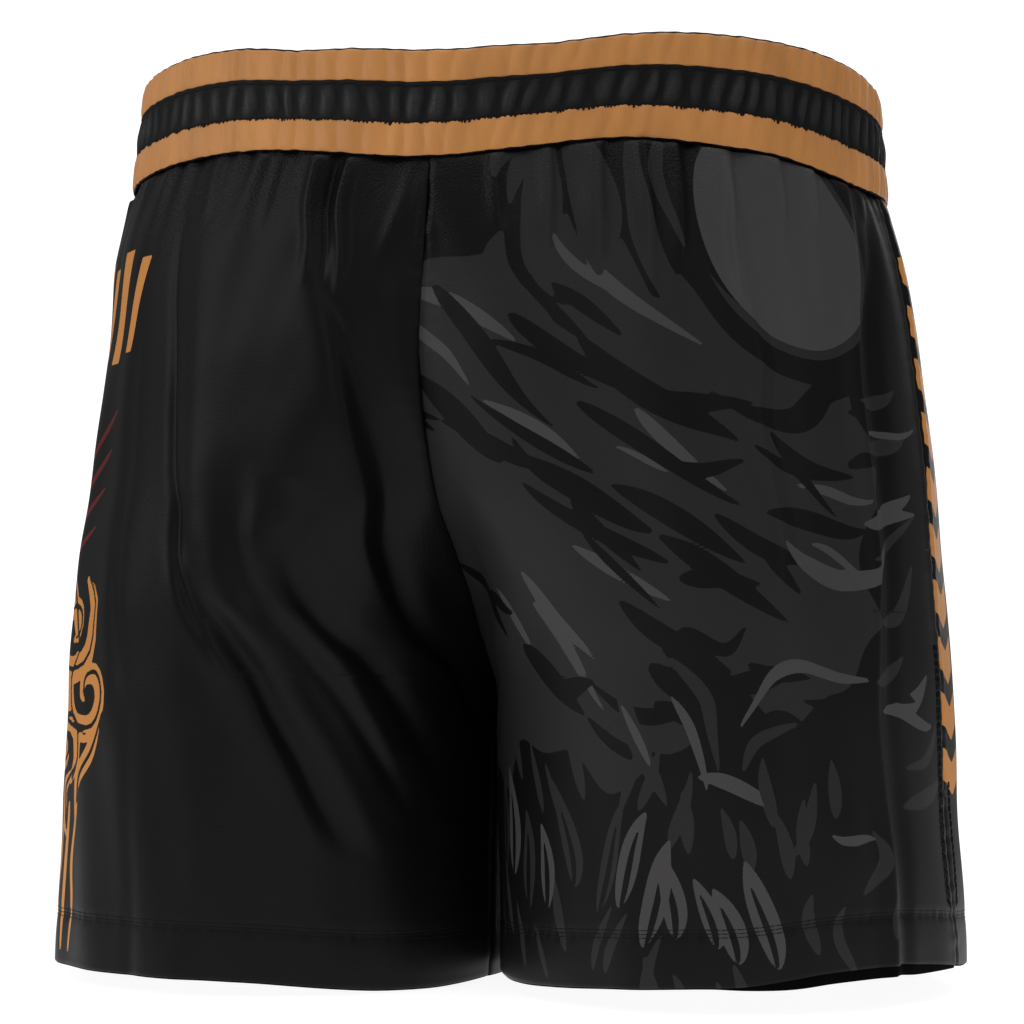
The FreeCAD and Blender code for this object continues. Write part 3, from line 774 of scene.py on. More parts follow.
def side_strokes(points, rng):
    """Beyond the ridge of the side fold, strokes that curve up towards the side seam."""
    mid, light = [], []
    for foot in (64, 78, 101, 112, 134, 158, 171, 196, 214):
        rise, begin, length = rng.uniform(4, 20), rng.uniform(260, 276), rng.uniform(24, 42)
        steps = np.linspace(0, 1, 4)
        line = np.stack([begin + length * steps, foot + rise * steps**2 - 5 * steps * (1 - steps)], -1)
        (light if foot in (101, 171) else mid).append(stroke(points, line, rng.uniform(2.2, 4.6)))
    return mid, light


def hem_leaves(points, rng):
    """A sprig of leaves that leans along the hem, lower towards the side, with smaller ones round it."""
    mid, light = [], []
    for foot in np.arange(62, 215, 13.5):
        turned = rng.choice([-1, 1])
        base = (foot + rng.uniform(-3, 3), 38 - 0.2 * (foot - 70) + rng.uniform(-9, 9))
        tall, drift = rng.uniform(28, 44), turned * rng.uniform(7, 15)
        steps = np.linspace(0, 1, 5)
        line = np.stack([base[0] + drift * steps**1.4, base[1] + tall * steps], -1)
        fat = rng.uniform(4.6, 6.6)
        leaf = stroke(points, line, fat, 0.0, 0.42)
        vein = stroke(points, line[:4] + (0.12 * fat * turned, 0), 1.5, 0.2, 0.4)
        (light if rng.uniform() < 0.62 else mid).append(np.maximum(leaf, -vein))
        mid.append(stroke(points, line[1:] + (rng.uniform(6, 9), 24), fat * 0.55, 0.0, 0.4))
        mid.append(stroke(points, line[1:] + (rng.uniform(-9, 3), -34), fat * 0.5, 0.0, 0.4))
    steps = np.linspace(0, 1, 7)
    for foot, base in ((206, 58), (222, 44), (236, 62), (254, 30), (268, 10), (228, 8), (244, 2)):
        tall, sway = rng.uniform(24, 38), rng.uniform(-6, 6)
        line = np.stack([foot + sway * (np.sin(steps * 4.2 - 0.6) + 0.25 * steps), base + tall * steps], -1)
        mid.append(stroke(points, line, rng.uniform(2.6, 4.4), 0.0, 0.4))
    return mid, light


def flame_print(points):
    """Feathered flames in two greys that sweep round a plain moon. Points are (across, height) in mm."""
    fields = no_print(points)
    rng = np.random.default_rng(21)
    away, away_aside = from_moon(points), from_moon(points, (4, -6))
    points = ripple(points)
    across, height = points[..., 0], points[..., 1]

    dark, light = feathers(points, rng)
    mid = [
        stroke(points, arc(rng, rng.uniform(66, 100), math.radians(start), length, 6), fat, 0.0, 0.4)
        for start, length, fat in ((140, 38, 4.5), (152, 30, 3.4), (165, 44, 5.0), (180, 36, 4.0))
    ]
    # Tongues that reach up to the band beside the moon, then leaves above the hem.
    mid += strokes(
        points,
        (((198, 303), (194, 288), (190, 275), (186, 256)), 5.4, 0.3, 0.6),
        (((204, 304), (206, 288), (204, 272), (201, 252)), 6.6, 0.3, 0.5),
        (((219, 306), (218, 288), (215, 268), (219, 248), (228, 230)), 3.8, 0.3, 0.6),
        (((226, 302), (224, 286), (225, 266)), 2.2, 0.2, 0.4),
        (((208, 270), (209, 257), (211, 244), (218, 230)), 3.4, 0.0, 0.6),
        (((221, 258), (226, 246), (233, 233)), 2.6),
        (((148, 118), (150, 94), (163, 66)), 5.0),
        (((172, 118), (186, 98), (185, 72)), 3.6, 0.0, 0.4),
        (((194, 74), (205, 90), (226, 97)), 2.6),
        (((229, 78), (222, 60), (216, 46)), 3.4),
    )
    # Dark clefts between the tongues' roots.
    dark += strokes(
        points,
        (((200, 292), (200, 274), (202, 252)), 3.4, 0.3, 0.5),
        (((212, 292), (211, 270), (215, 246)), 4.0, 0.3, 0.5),
        (((222, 292), (221, 270), (228, 244)), 3.4, 0.3, 0.5),
        (((172, 112), (183, 126), (196, 121), (212, 130)), 3.6, 0.0, 0.4),
        (((180, 263), (183, 248), (190, 228)), 3.6, 0.0, 0.6),
        (((186, 254), (193, 245), (201, 230)), 3.2, 0.0, 0.6),
    )
    light += strokes(
        points,
        (((146, 256), (156, 250), (164, 240), (171, 228)), 4.2, 0.0, 0.45),
        (((138, 254), (143, 242), (149, 230), (152, 214)), 2.6, 0.0, 0.4),
        (((150, 216), (160, 206), (167, 196), (172, 184)), 3.0),
    )
    for more_mid, more_light in (side_strokes(points, rng), hem_leaves(points, rng)):
        mid += more_mid
        light += more_light
    # Strokes laid over everything else.
    over = strokes(
        points,
        (((190, 80), (201, 98), (214, 112), (231, 118), (247, 116), (266, 112)), 2.9, 0.0, 0.6),
        (((228, 166), (238, 155), (253, 149), (270, 152), (286, 166)), 4.4),
        (((170, 106), (177, 90), (179, 66)), 2.8),
        (((146, 108), (151, 94), (156, 80)), 2.6),
    )

    # The grey ground: ragged at the top, round the moon, towards the hem and at the side.
    edge = 6 * np.sin(across / 13) + 4 * np.sin(across / 6.1 + 1) + 9 * np.sin(across / 37)
    above = height - (268 + 0.7 * edge + 0.10 * (across - 150))
    below = 76 + edge + 0.22 * (across - 90) - height
    aside = across - (266 + 5 * np.sin(height / 9) + 0.1 * (height - 140))
    ground = np.maximum.reduce([above, below, aside, 46 - away])
    cuts = union(*dark)
    rim = np.maximum(away - 38, 35.5 - away_aside)
    fields["print_mid"] = union(np.maximum(ground, -cuts), *mid, rim)
    fields["print_light"] = union(np.maximum.reduce([union(*light), -cuts, 42 - away]), away - MOON_RIM, *over)
    return fields


def slab(points, corners):
    """Signed distance, negative inside, to a flat-sided patch whose corners run counter-clockwise."""
    corners = np.array(corners, float)
    sides = []
    for a, b in zip(corners, np.roll(corners, -1, axis=0)):
        along = (b - a) / np.linalg.norm(b - a)
        sides.append((points[..., 0] - a[0]) * along[1] - (points[..., 1] - a[1]) * along[0])
    return np.minimum(np.maximum.reduce(sides), FAR)


def spread(line):
    """Spreads the scroll's shapes across the cloth."""
    line = np.array(line, float)
    line[:, 0] = 31 + (line[:, 0] - 34) * 1.5
    return line


def scroll(centre, radius, start, turns, fat):
    """The line and widths of a spiral stroke."""
    steps = np.linspace(0, 1, 13)
    angles = start + turns * 2 * math.pi * steps
    radii = radius * (1 - 0.82 * steps)
    line = np.array(centre) + np.stack([radii * np.cos(angles), 1.25 * radii * np.sin(angles)], -1)
    return spread(line), fat, 0.25, 0.35


def slash_print(points, edge):
    """The wearer's left side: leaning gold bars, dark red cuts and a gold scroll, by distance to the side seam."""
    fields = no_print(points)
    place = np.stack([edge, points[..., 1]], -1)
    gold = []
    for number, wide in enumerate((10, 7, 10, 6)):
        foot, low, high = 19 + 19 * number, 232 + 3 * (number % 2), 272 - 4 * (number % 2)
        gold.append(slab(place, ((foot, low), (foot + wide, low), (foot + wide + 9, high), (foot + 9, high))))
    cuts = [
        (((30 + 4 * k, 146 + 15 * k), (50 + 4 * k, 160 + 15 * k), (74 + 2 * k, 172 + 15 * k)), 1.9) for k in range(4)
    ]
    fields["print_red"] = union(*strokes(place, *cuts))
    shapes = [
        scroll((52, 128), 17, 1.2, -1.35, 5.6),
        scroll((66, 104), 15, 2.2, 1.25, 5.2),
        scroll((50, 84), 13, -1.0, 1.3, 4.6),
        (spread(((34, 160), (44, 148), (50, 138), (58, 120))), 4.6),
        (spread(((76, 96), (70, 82), (62, 70), (60, 52))), 4.4, 0, 0.4),
        (spread(((40, 108), (46, 96), (54, 92), (66, 88))), 4.0, 0, 0.4),
        (spread(((60, 76), (52, 66), (52, 56), (56, 46))), 3.6, 0, 0.4),
    ]
    veins = [(line + (1.4, 0.7), 0.95, 0.6) for line, *_ in shapes]
    whips = [
        (spread(((44 + 6 * k, 62), (47 + 4 * k, 40), (43 + 6 * k, 22), (46 + 5 * k, 6))), 1.4, 0.5, 0.4)
        for k in range(4)
    ]
    scrolls = np.maximum(union(*strokes(place, *shapes)), -union(*strokes(place, *veins)))
    fields["print_gold"] = union(*gold, scrolls, *strokes(place, *whips))
    return fields


def chevrons(points, sides, ends, pitch, gap, slant):
    """A column of chevrons that point down, between two distances from the seam and two heights."""
    across, height = points[..., 0], points[..., 1]
    shifted = height - slant * np.abs(across - sum(sides) / 2)
    phase = np.mod(shifted - ends[0], pitch)
    bar = np.maximum(gap / 2 - phase, phase - (pitch - gap / 2))
    beside = np.maximum(sides[0] - across, across - sides[1])
    return np.maximum.reduce([bar, beside, ends[0] + gap / 3 - height, height - ends[1]])


# ---------------------------------------------------------------- leg panels

# Thicknesses of cloth, in millimetres.
THICKNESS = {"panel": 0.5, "stripe": 0.6, "facing": 0.55, "elastic": 0.4, "pocket": 0.35, "label": 0.25}
# The spacing of each panel's mesh: closest where the print is finest.
PANEL_STEPS = {("right", "back"): 0.9, ("left", "back"): 1.15, ("right", "front"): 1.2, ("left", "front"): 1.6}
PANEL_SPAN = 300  # a panel's width, which sets its number of columns
# A strip just under the band is left plain black: partly the seam's dark edge, partly painted shade under the band's
# edge.
UNDER_BAND = SEAM - 1.3  # nothing is printed above this, where the cloth goes under the band


def panel_rows(step):
    """Heights, offsets and droops down the cloth: from under the band to the hem's fold and up inside.

    The rows with a droop belong to the turned-up layer, which can hang a little below the outer edge.
    """
    top = np.linspace(309, 1.0, int(308 / step) + 1)
    edge = np.array([0.75, 0.7, 0.65])
    bend = np.linspace(0, np.pi, 7)[1:-1]
    inside = np.linspace(1.0, HEM_FOLD, 9)
    heights = np.concatenate([top, edge, 0.6 - 0.45 * np.sin(bend), inside])
    outer = np.concatenate([np.full(len(top), -0.25), (-0.4, -0.62, -0.78)])
    offsets = np.concatenate([outer, -1.18 + 0.36 * np.cos(bend), np.full(len(inside), -1.54)])
    drops = np.concatenate([np.zeros(len(outer)), np.ones(len(bend) + 1), np.linspace(0.9, 0, len(inside) - 1)])
    return heights, offsets, drops


def hem_peek(side_name, place, degrees):
    """How far the turned-up layer of a hem shows below the outer edge: only at the back of the right leg."""
    if (side_name, place) != ("right", "back"):
        return np.zeros_like(degrees)
    return 3.4 * smooth((degrees - 98) / 26) * smooth((178 - degrees) / 28)


def panel_points(side, place, share, height, offset):
    """Points on a panel for a share from its inner seam, 0, to its side seam, 1.

    Also gives the place across the cloth and the distance to the side seam, both in millimetres.
    """
    front = place == "front"
    inner, outer = seam_turns(height, front)
    turn = inner + (outer - inner) * share
    radius = cloth_radius(height)
    edge_inner = np.abs(turn - inner) * radius
    edge_side = np.abs(outer - turn) * radius
    relief = panel_relief(side, place, turn, height, edge_inner, edge_side)
    base, out = leg_point(side, turn, height)
    # Beside the middle plane the cloth moves only forwards and backwards.
    level = smooth(edge_inner / 16)[..., None]
    above = smooth((height - CROTCH) / 14)[..., None]
    flat = np.zeros_like(out)
    flat[..., 1] = np.sign(np.where(out[..., 1] == 0, 1, out[..., 1]))
    direction = out * (level + (1 - level) * (1 - above)) + flat * (1 - level) * above
    direction /= np.linalg.norm(direction, axis=-1, keepdims=True)
    points = base + direction * (relief + offset)[..., None]
    # The slit stands a little open towards the hem.
    gape = 1.3 * np.clip((SLIT - height) / SLIT, 0, 1) * bell(edge_side, 30)
    points[..., 1] += gape * (-1 if front else 1)
    return hang(points, side, turn, height), turn * AROUND, edge_side


def build_panel(side_name, place):
    side = SIDES[side_name]
    step = PANEL_STEPS[side_name, place]
    heights, offsets, drops = panel_rows(step)
    columns = int(PANEL_SPAN / step)
    share = np.concatenate([[0, 0], np.linspace(0, 1, columns), [1, 1]])
    # The seam allowance turns under, just short of the neighbour.
    tuck = np.concatenate([[-2.2, -1.1], np.zeros(columns), [-1.1, -2.2]])
    H, S = np.meshgrid(heights, share, indexing="ij")
    inner_turn, outer_turn = seam_turns(np.array([10.0]), place == "front")
    peek = hem_peek(side_name, place, np.degrees(inner_turn + (outer_turn - inner_turn) * share))
    H = H - drops[:, None] * peek[None, :]
    points, across, edge_side = panel_points(side, place, S, H, offsets[:, None] + tuck[None, :])
    flat = np.stack([np.abs(across), H], -1)
    fields = no_print(flat)
    if (side_name, place) == ("right", "back"):
        fields = flame_print(flat)
    if (side_name, place) == ("left", "back"):
        fields = slash_print(flat, edge_side)
    if (side_name, place) == ("right", "front"):
        beside = np.stack([edge_side, H], -1)
        fields["print_gold"] = chevrons(beside, sides=(0.7, 26), ends=(64, 277), pitch=21.3, gap=8.6, slant=0.5)
    # Painted shade: no print above this height, so a plain black strip shows just under the band.
    fields = {ink: np.where(H > UNDER_BAND, FAR, field) for ink, field in fields.items()}
    fields["gathered"] = smooth((H - 248) / 50)
    uv = np.stack([across, H], -1) * MM
    faces = grid_faces(len(heights), len(share), flip=(side == RIGHT) != (place == "front"))
    # Faces of the turned-up hem layer, which take the wrong side's material with its painted shade.
    turned_up = np.repeat(drops[1:] > 0, len(share) - 1)
    node = f"{place}_panel_{side_name}"
    thing = make(f"{node}_cloth", settle(points), faces, [cloth_print, wrong_side_with_painted_shade], fields, uv, turned_up)
    thicken(thing, THICKNESS["panel"], cloth_plain)
    declare(thing, "panel_cloth", node)


# ---------------------------------------------------------------- waistband

BAND_COLUMNS = 1290
BAND_RADIUS = 130  # turns radians round the waist into millimetres of cloth
STRIPES = (11.4, 26.1)  # heights where the black stripe begins and ends


def band_point(angle, height, offset):
    """A point on the waistband: the angle round it, 90 degrees at the back, and the height up it."""
    # Gathered cloth has a slightly wavy edge.
    height = height + 0.06 * (np.sin(53 * angle) + np.sin(89 * angle + 1) + np.sin(131 * angle + 2))
    reach, depth = (low + (high - low) * height / BAND for low, high in zip(BAND_LOW, BAND_HIGH))
    c, s = np.cos(angle), np.sin(angle)
    out = np.stack([c / reach, s / depth], -1)
    out /= np.linalg.norm(out, axis=-1, keepdims=True)
    x = reach * c + out[..., 0] * offset
    y = depth * s + out[..., 1] * offset
    back = SHIFT + y * math.cos(LEAN) - height * math.sin(LEAN)
    return np.stack([x, back, SEAM + y * math.sin(LEAN) + height * math.cos(LEAN)], -1)


def pleat_phase(count, seed):
    """Two functions of the angle: one that gains one for every pleat, in pleats of uneven width, and one
    for how tall each pleat stands."""
    rng = np.random.default_rng(seed)
    widths = rng.uniform(0.72, 1.3, count)
    edges = np.concatenate([[0], np.cumsum(widths)])
    edges *= 2 * np.pi / edges[-1]
    heights = rng.uniform(0.35, 1.25, count)

    def phase(angle):
        return np.interp(np.mod(angle, 2 * np.pi), edges, np.arange(count + 1.0))

    def height(angle):
        number = phase(angle)
        whole = np.floor(number).astype(int)
        part = smooth(number - whole)
        return heights[whole % count] * (1 - part) + heights[(whole + 1) % count] * part

    return phase, height


PHASE, PLEAT_HEIGHT = pleat_phase(106, 4)


def slant(angle):
    """How far the pleats lean: upright on the wearer's left, leaning on the wearer's right."""
    degrees = np.degrees(np.mod(angle, 2 * np.pi))
    return -0.012 + 0.050 * smooth((degrees - 80) / 30) * smooth((215 - degrees) / 40)


def pleats(angle, height, sharp):
    """How far the pleats stand out, from 0 to about 1.25. Less sharp pleats are rounder."""
    lean = slant(angle) * (height - BAND / 2) / (BAND / 2)
    turned = angle - lean + 0.003 * np.sin(height / 3.4 + 23 * angle)
    puff = 0.5 - 0.5 * np.cos(2 * np.pi * PHASE(turned))
    crinkle = 0.09 * np.sin(turned * 211 + 0.5 * height) * np.sin(turned * 37 + 0.21 * height)
    return puff**sharp * PLEAT_HEIGHT(turned) + crinkle


def ring_piece(name, profile, material, cloth, amount, sharp):
    """A ring of cloth round the waist. The profile is rows of (height, offset, share of the pleats)."""
    angle = np.linspace(0, 2 * np.pi, BAND_COLUMNS, endpoint=False)
    heights, offsets, shares = np.array(profile, float).T[..., None]
    A, H = np.meshgrid(angle, heights, indexing="xy")
    folds = pleats(A, H, sharp)
    points = settle(band_point(A, H, offsets + amount * shares * (folds - 0.5)))
    uv = np.stack([A * BAND_RADIUS, H], -1) * MM
    faces = grid_faces(len(profile), BAND_COLUMNS, closed=True)
    # The share of each pleat's crest, which the black tape uses for its gloss and for its painted highlight and
    # shade.
    crest_gloss_and_shade = np.clip(folds, 0, 1) * np.clip(shares, 0, 1)
    thing = make(name, points, faces, [material], {"crest_gloss_and_shade": crest_gloss_and_shade}, uv)
    thicken(thing, THICKNESS[cloth])
    return thing


def stripe_profile(low, high, bulge, base):
    """The profile of a gold stripe that puffs out between its two seams."""
    eased = 0.5 - 0.5 * np.cos(np.pi * np.linspace(0, 1, 15))
    arch = np.clip(4 * eased * (1 - eased), 0, 1) ** 0.45
    return [(low + (high - low) * h, base + bulge * a, 0.25 + 0.75 * a) for h, a in zip(eased, arch)]


def middle_profile(low, high):
    """The profile of the black stripe, which has a line pinched in and a lip under its upper seam."""
    pinch = high - 1.7
    heights = np.concatenate([np.linspace(low + 0.1, high - 0.1, 28), pinch + np.linspace(-0.9, 0.9, 7)])
    profile = []
    for h in np.unique(heights):
        swell = math.sin(math.pi * min((h - low) / (high - low) / 0.9, 1.0))
        lip = 0.3 * bell(h - high + 0.8, 0.5)
        profile.append((h, 0.8 + 0.12 * swell - 0.28 * bell(h - pinch, 0.55), 0.04 + swell**0.8 + lip))
    return profile


def build_waistband():
    low, high = STRIPES
    gold_low, gold_top = stripe_profile(0.0, low, 0.55, 0.55), stripe_profile(high, BAND - 1.0, 0.5, 0.5)
    bottom = ring_piece("waistband_bottom_stripe_cloth", gold_low, gold_tape, "stripe", 0.95, 0.65)
    top = ring_piece("waistband_top_stripe_cloth", gold_top, gold_tape, "stripe", 1.15, 0.65)
    dark = middle_profile(low, high)
    middle = ring_piece("waistband_middle_stripe_cloth", dark, black_tape, "stripe", 1.4, 0.95)
    for thing, label, slot, tall in (
        (bottom, "bottom", "gold_stripe", low),
        (middle, "middle", "black_stripe", high - low),
        (top, "top", "gold_stripe", 11.4),
    ):
        declare(thing, slot, f"waistband_{label}_stripe")
    # The facing comes up inside, rolls over the elastic and ends under the top stripe.
    roll = np.linspace(0, np.pi, 9)
    rim = [(BAND - 1.15 + 0.95 * math.sin(t), -0.72 - 0.98 * math.cos(t), 0.25) for t in roll]
    facing = [(h, -1.7, 0.3) for h in np.linspace(0.4, BAND - 1.4, 14)] + rim + [(BAND - 2.2, 0.15, 0.25)]
    thing = ring_piece("waistband_facing_cloth", facing, facing_cloth, "facing", 0.5, 0.9)
    declare(thing, "facing_cloth", "waistband_facing")
    # The elastic is ridged by its rubber cores.
    core = [(h, -0.5 + 0.12 * math.cos(k * math.pi), 0.3) for k, h in enumerate(np.linspace(9.2, BAND - 2.0, 27))]
    thing = ring_piece("waistband_elastic_core", core, elastic_cloth, "elastic", 0.3, 0.9)
    declare(thing, "elastic", "waistband_elastic")


# ---------------------------------------------------------------- thread

CAPSULE_SIDES = 6
CAPSULE_RINGS = ((-1.0, 0.35), (-0.86, 0.8), (-0.5, 1.0), (0.5, 1.0), (0.86, 0.8), (1.0, 0.35))
# Each kind of stitch: its length, the gap between stitches, and the thread's radius.
BAND_STITCH, SEAM_STITCH = (3.3, 0.4, 0.30), (4.6, 0.2, 0.4)
COVER_STITCH, POCKET_STITCH = (2.65, 0.2, 0.15), (2.4, 0.5, 0.22)
ROWS, ROW_PITCH = 3, 1.4
HEM_ROW, SIDE_ROW = 18.45, 5.2  # the lowest hem row's height, and the first side row's distance from the seam
SIDE_ROW_TOPS = {"back": 126, "front": SLIT + 6}
POCKET_BOTTOM, POCKET_WIDTH = 137, 74
LIFT = 0.12  # how far most thread stands off the outer face


def capsules(starts, ends, ups, radius, sink=None):
    """Plump little stitches from start to end points, bent down into the cloth at their ends."""
    starts, ends, ups = (np.asarray(v, float) for v in (starts, ends, ups))
    sink = 0.6 * radius if sink is None else sink
    middle, half = (starts + ends) / 2, (ends - starts) / 2
    along = half / np.linalg.norm(half, axis=1, keepdims=True)
    over = ups - (ups * along).sum(1, keepdims=True) * along
    over /= np.linalg.norm(over, axis=1, keepdims=True)
    beside = np.cross(along, over)
    points = []
    for place, fat in CAPSULE_RINGS:
        centre = middle + half * place - over * (sink * place**2)
        for k in range(CAPSULE_SIDES):
            a = 2 * math.pi * k / CAPSULE_SIDES
            points.append(centre + radius * fat * (math.cos(a) * over + math.sin(a) * beside))
    verts = np.stack(points, 1)
    # Each end is closed by two quads across its six points.
    last = verts.shape[1] - CAPSULE_SIDES
    far = [(last, last + 1, last + 4, last + 5), (last + 1, last + 2, last + 3, last + 4)]
    tube = grid_faces(len(CAPSULE_RINGS), CAPSULE_SIDES, closed=True)
    one = np.concatenate([tube, [(5, 4, 1, 0), (4, 3, 2, 1)], far])
    faces = (one[None] + verts.shape[1] * np.arange(len(verts))[:, None, None]).reshape(-1, 4)
    return verts.reshape(-1, 3), faces


def along_line(points):
    """The length of a line of close points, and a function that reads values at places along it."""
    run = np.concatenate([[0], np.cumsum(np.linalg.norm(np.diff(points, axis=0), axis=1))])
    return run[-1], lambda where, rows: np.stack([np.interp(where, run, rows[:, k]) for k in range(3)], -1)


def stitches_along(line, kind):
    """Stitches of one kind along a line of close points with their outward directions."""
    points, ups = line
    stitch, gap, radius = kind
    length, at = along_line(points)
    count = int(length // (stitch + gap))
    pitch = length / count
    begin = np.arange(count) * pitch + gap / 2
    finish = begin + pitch - gap
    return capsules(at(begin, points), at(finish, points), at((begin + finish) / 2, ups), radius)


def thread_piece(node, parts, slot="topstitch_thread", material=thread_black):
    thing = make(f"{node}_stitches", *joined(parts), [material])
    declare(thing, slot, node)


def band_row(height, lift, uneven=0.0):
    """A level line round the band, with outward directions."""
    angle = np.linspace(0, 2 * np.pi, 2600)
    height = height + uneven * (np.sin(37 * angle) + np.sin(61 * angle + 1) + np.sin(139 * angle + 2))
    raised = settle(band_point(angle, height, lift))
    return raised, settle(band_point(angle, height, lift + 1)) - raised


def panel_line(side, place, share, heights, lift):
    """A line on a panel's outer face, with outward directions."""
    low, high = (settle(panel_points(side, place, share, heights, up)[0]) for up in (lift, lift + 1.0))
    return low, high - low


def level_line(side, place, share, height, lift=LIFT):
    return panel_line(side, place, share, np.full_like(share, height), lift)


def edge_share(heights, edge, front):
    """The share of a panel's width at a distance from its side seam."""
    inner, outer = seam_turns(heights, front)
    return 1 - edge / (np.abs(outer - inner) * cloth_radius(heights))


def edge_line(side, place, edge, heights, lift=LIFT):
    return panel_line(side, place, edge_share(heights, edge, place == "front"), heights, lift)


def ragged_edge(height):
    """Loops of overcast thread that bite from the black stripe into the gold one below it."""
    rng = np.random.default_rng(17)
    count = 640
    angle = (np.arange(count) + rng.uniform(-0.4, 0.4, count)) * 2 * np.pi / count
    uneven = 0.22 * np.sin(angle * 61) + 0.22 * np.sin(angle * 103 + 1) + 0.15 * np.sin(angle * 23)
    tops, lows = height + rng.uniform(0.3, 0.6, count), height - 0.3 - uneven - rng.uniform(0.0, 0.35, count)
    lean = rng.uniform(-0.005, 0.005, count)
    start = settle(band_point(angle, tops, 0.9))
    end = settle(band_point(angle + lean, np.minimum(lows, tops - 0.5), 1.0))
    return capsules(start, end, settle(band_point(angle, tops, 2.0)) - start, 0.45, 0.1)


def build_stitching():
    low, high = STRIPES
    # The joining seam shows as a dark line under the bottom stripe.
    lower = [stitches_along(band_row(low + 2.4, 0.62), BAND_STITCH), ragged_edge(low)]
    lower.append(stitches_along(band_row(-0.25, 0.35, uneven=0.06), SEAM_STITCH))
    thread_piece("waistband_lower_topstitch", lower)
    thread_piece("waistband_upper_topstitch", [stitches_along(band_row(high - 1.75, 0.78), BAND_STITCH)])
    for side_name, side in SIDES.items():
        for place in ("back", "front"):
            hem, seam = [], []
            for row in range(ROWS):
                across = np.linspace(0.012, 0.985, 700)
                line = level_line(side, place, across, HEM_ROW + ROW_PITCH * row)
                hem.append(stitches_along(line, COVER_STITCH))
                # The hem rows cross here, so these rows stop above them.
                heights = np.linspace(22.6 + 0.95 * row, SIDE_ROW_TOPS[place], 300)
                line = edge_line(side, place, SIDE_ROW + ROW_PITCH * row, heights)
                seam.append(stitches_along(line, COVER_STITCH))
            thread_piece(f"hem_stitching_{place}_{side_name}", hem)
            thread_piece(f"side_stitching_{place}_{side_name}", seam)
        # The pocket's lower edge, one level row from the side rows towards the back.
        bottom = POCKET_BOTTOM + 0.2
        inner, outer = seam_turns(np.array([bottom]), False)
        span = float(abs(outer - inner)[0] * AROUND * 1.24)
        line = level_line(side, "back", 1 - np.linspace(SIDE_ROW, 66, 200) / span, bottom)
        thread_piece(f"pocket_stitching_{side_name}", [stitches_along(line, POCKET_STITCH)])
        # The bar at the top of the slit: close threads side by side over the seam.
        tacks = []
        for height in np.arange(SLIT + 0.2, SLIT + 3.0, 0.4):
            bar = np.array([height])
            (a, up_a), (b, up_b) = (edge_line(side, place, 4.2, bar, 0.35) for place in ("front", "back"))
            tacks.append(capsules(a, b, (up_a + up_b) / 2, 0.24, 0.5))
        thread_piece(f"slit_bartack_{side_name}", tacks)


# ---------------------------------------------------------------- inside

OVERLOCK_HALF, OVERLOCK_PITCH = 2.9, 1.7
LEG_AXIS = 93.5  # how far each leg's middle stands from the middle plane


def overlock(middle, up, cross):
    """Looping thread round a trimmed seam allowance: slanting loops between two edges."""
    length, at = along_line(middle)
    count = int(length // OVERLOCK_PITCH)
    where = (np.arange(count) + 0.5) * length / count
    centre, up, side = at(where, middle), at(where, up), at(where, cross) * OVERLOCK_HALF
    up /= np.linalg.norm(up, axis=1, keepdims=True)
    step = np.gradient(centre, axis=0) * 0.42
    edge = step * 1.1
    return joined(
        [
            capsules(centre - side - step, centre + side + step, up, 0.36, 0.1),
            capsules(centre - side - edge, centre - side + edge, up, 0.42, 0.1),
            capsules(centre + side - edge, centre + side + edge, up, 0.42, 0.1),
        ]
    )


def build_overlocks():
    """Overlocked allowances inside the inseams, the side seams and the rise seam."""
    for side_name, side in SIDES.items():
        for label, low, high in (("inseam", 23.5, 110), ("side_seam", SLIT + 1, 134)):
            heights = np.linspace(low, high, 120)
            if label == "side_seam":
                back, front = (edge_line(side, place, 3.0, heights, -1.45)[0] for place in ("back", "front"))
            else:
                share = np.full_like(heights, 0.011)
                back, front = (panel_line(side, place, share, heights, -1.3)[0] for place in ("back", "front"))
            middle, cross = (back + front) / 2, front - back
            cross /= np.linalg.norm(cross, axis=1, keepdims=True)
            axis = np.stack([np.full_like(heights, side * LEG_AXIS), np.zeros_like(heights), heights], -1)
            strip = overlock(middle, axis - middle, cross)
            thread_piece(f"{label}_overlock_{side_name}", [strip], "overlock_thread", thread_overlock)
    halves = []
    for place, inwards in (("back", -1), ("front", 1)):
        heights = np.linspace(CROTCH + 2, SEAM - 2, 220)
        seam = panel_line(RIGHT, place, np.zeros_like(heights), heights, -2.4)[0]
        halves.append(overlock(seam, np.full_like(seam, (0, inwards, 0)), np.full_like(seam, (1, 0, 0))))
    thread_piece("rise_seam_overlock", halves, "overlock_thread", thread_overlock)


def build_pockets():
    """A flat bag of two plies behind each side seam, caught in the waist seam and open towards the side seam."""
    rows, columns = 90, 40
    heights, edge = np.linspace(300, POCKET_BOTTOM, rows), np.linspace(4.8, POCKET_WIDTH, columns)
    H, E = np.meshgrid(heights, edge, indexing="ij")
    share = edge_share(H, E, False)
    puff = 0.7 * smooth((H - POCKET_BOTTOM) / 14) * smooth((POCKET_WIDTH - E) / 14)
    uv = np.concatenate([np.stack([E, H], -1).reshape(-1, 2)] * 2) * MM
    for side_name, side in SIDES.items():
        plies = []
        for offset in (np.full_like(H, -1.5), -2.6 - puff):
            ply = settle(panel_points(side, "back", share, H, offset)[0]).reshape(-1, 3)
            plies.append((ply, grid_faces(rows, columns, flip=side == RIGHT)))
        verts, faces = joined(plies)
        thing = make(f"pocket_bag_{side_name}_cloth", verts, faces, [pocket_cloth], uv=uv)
        thicken(thing, THICKNESS["pocket"])
        declare(thing, "pocket_cloth", f"pocket_bag_{side_name}")


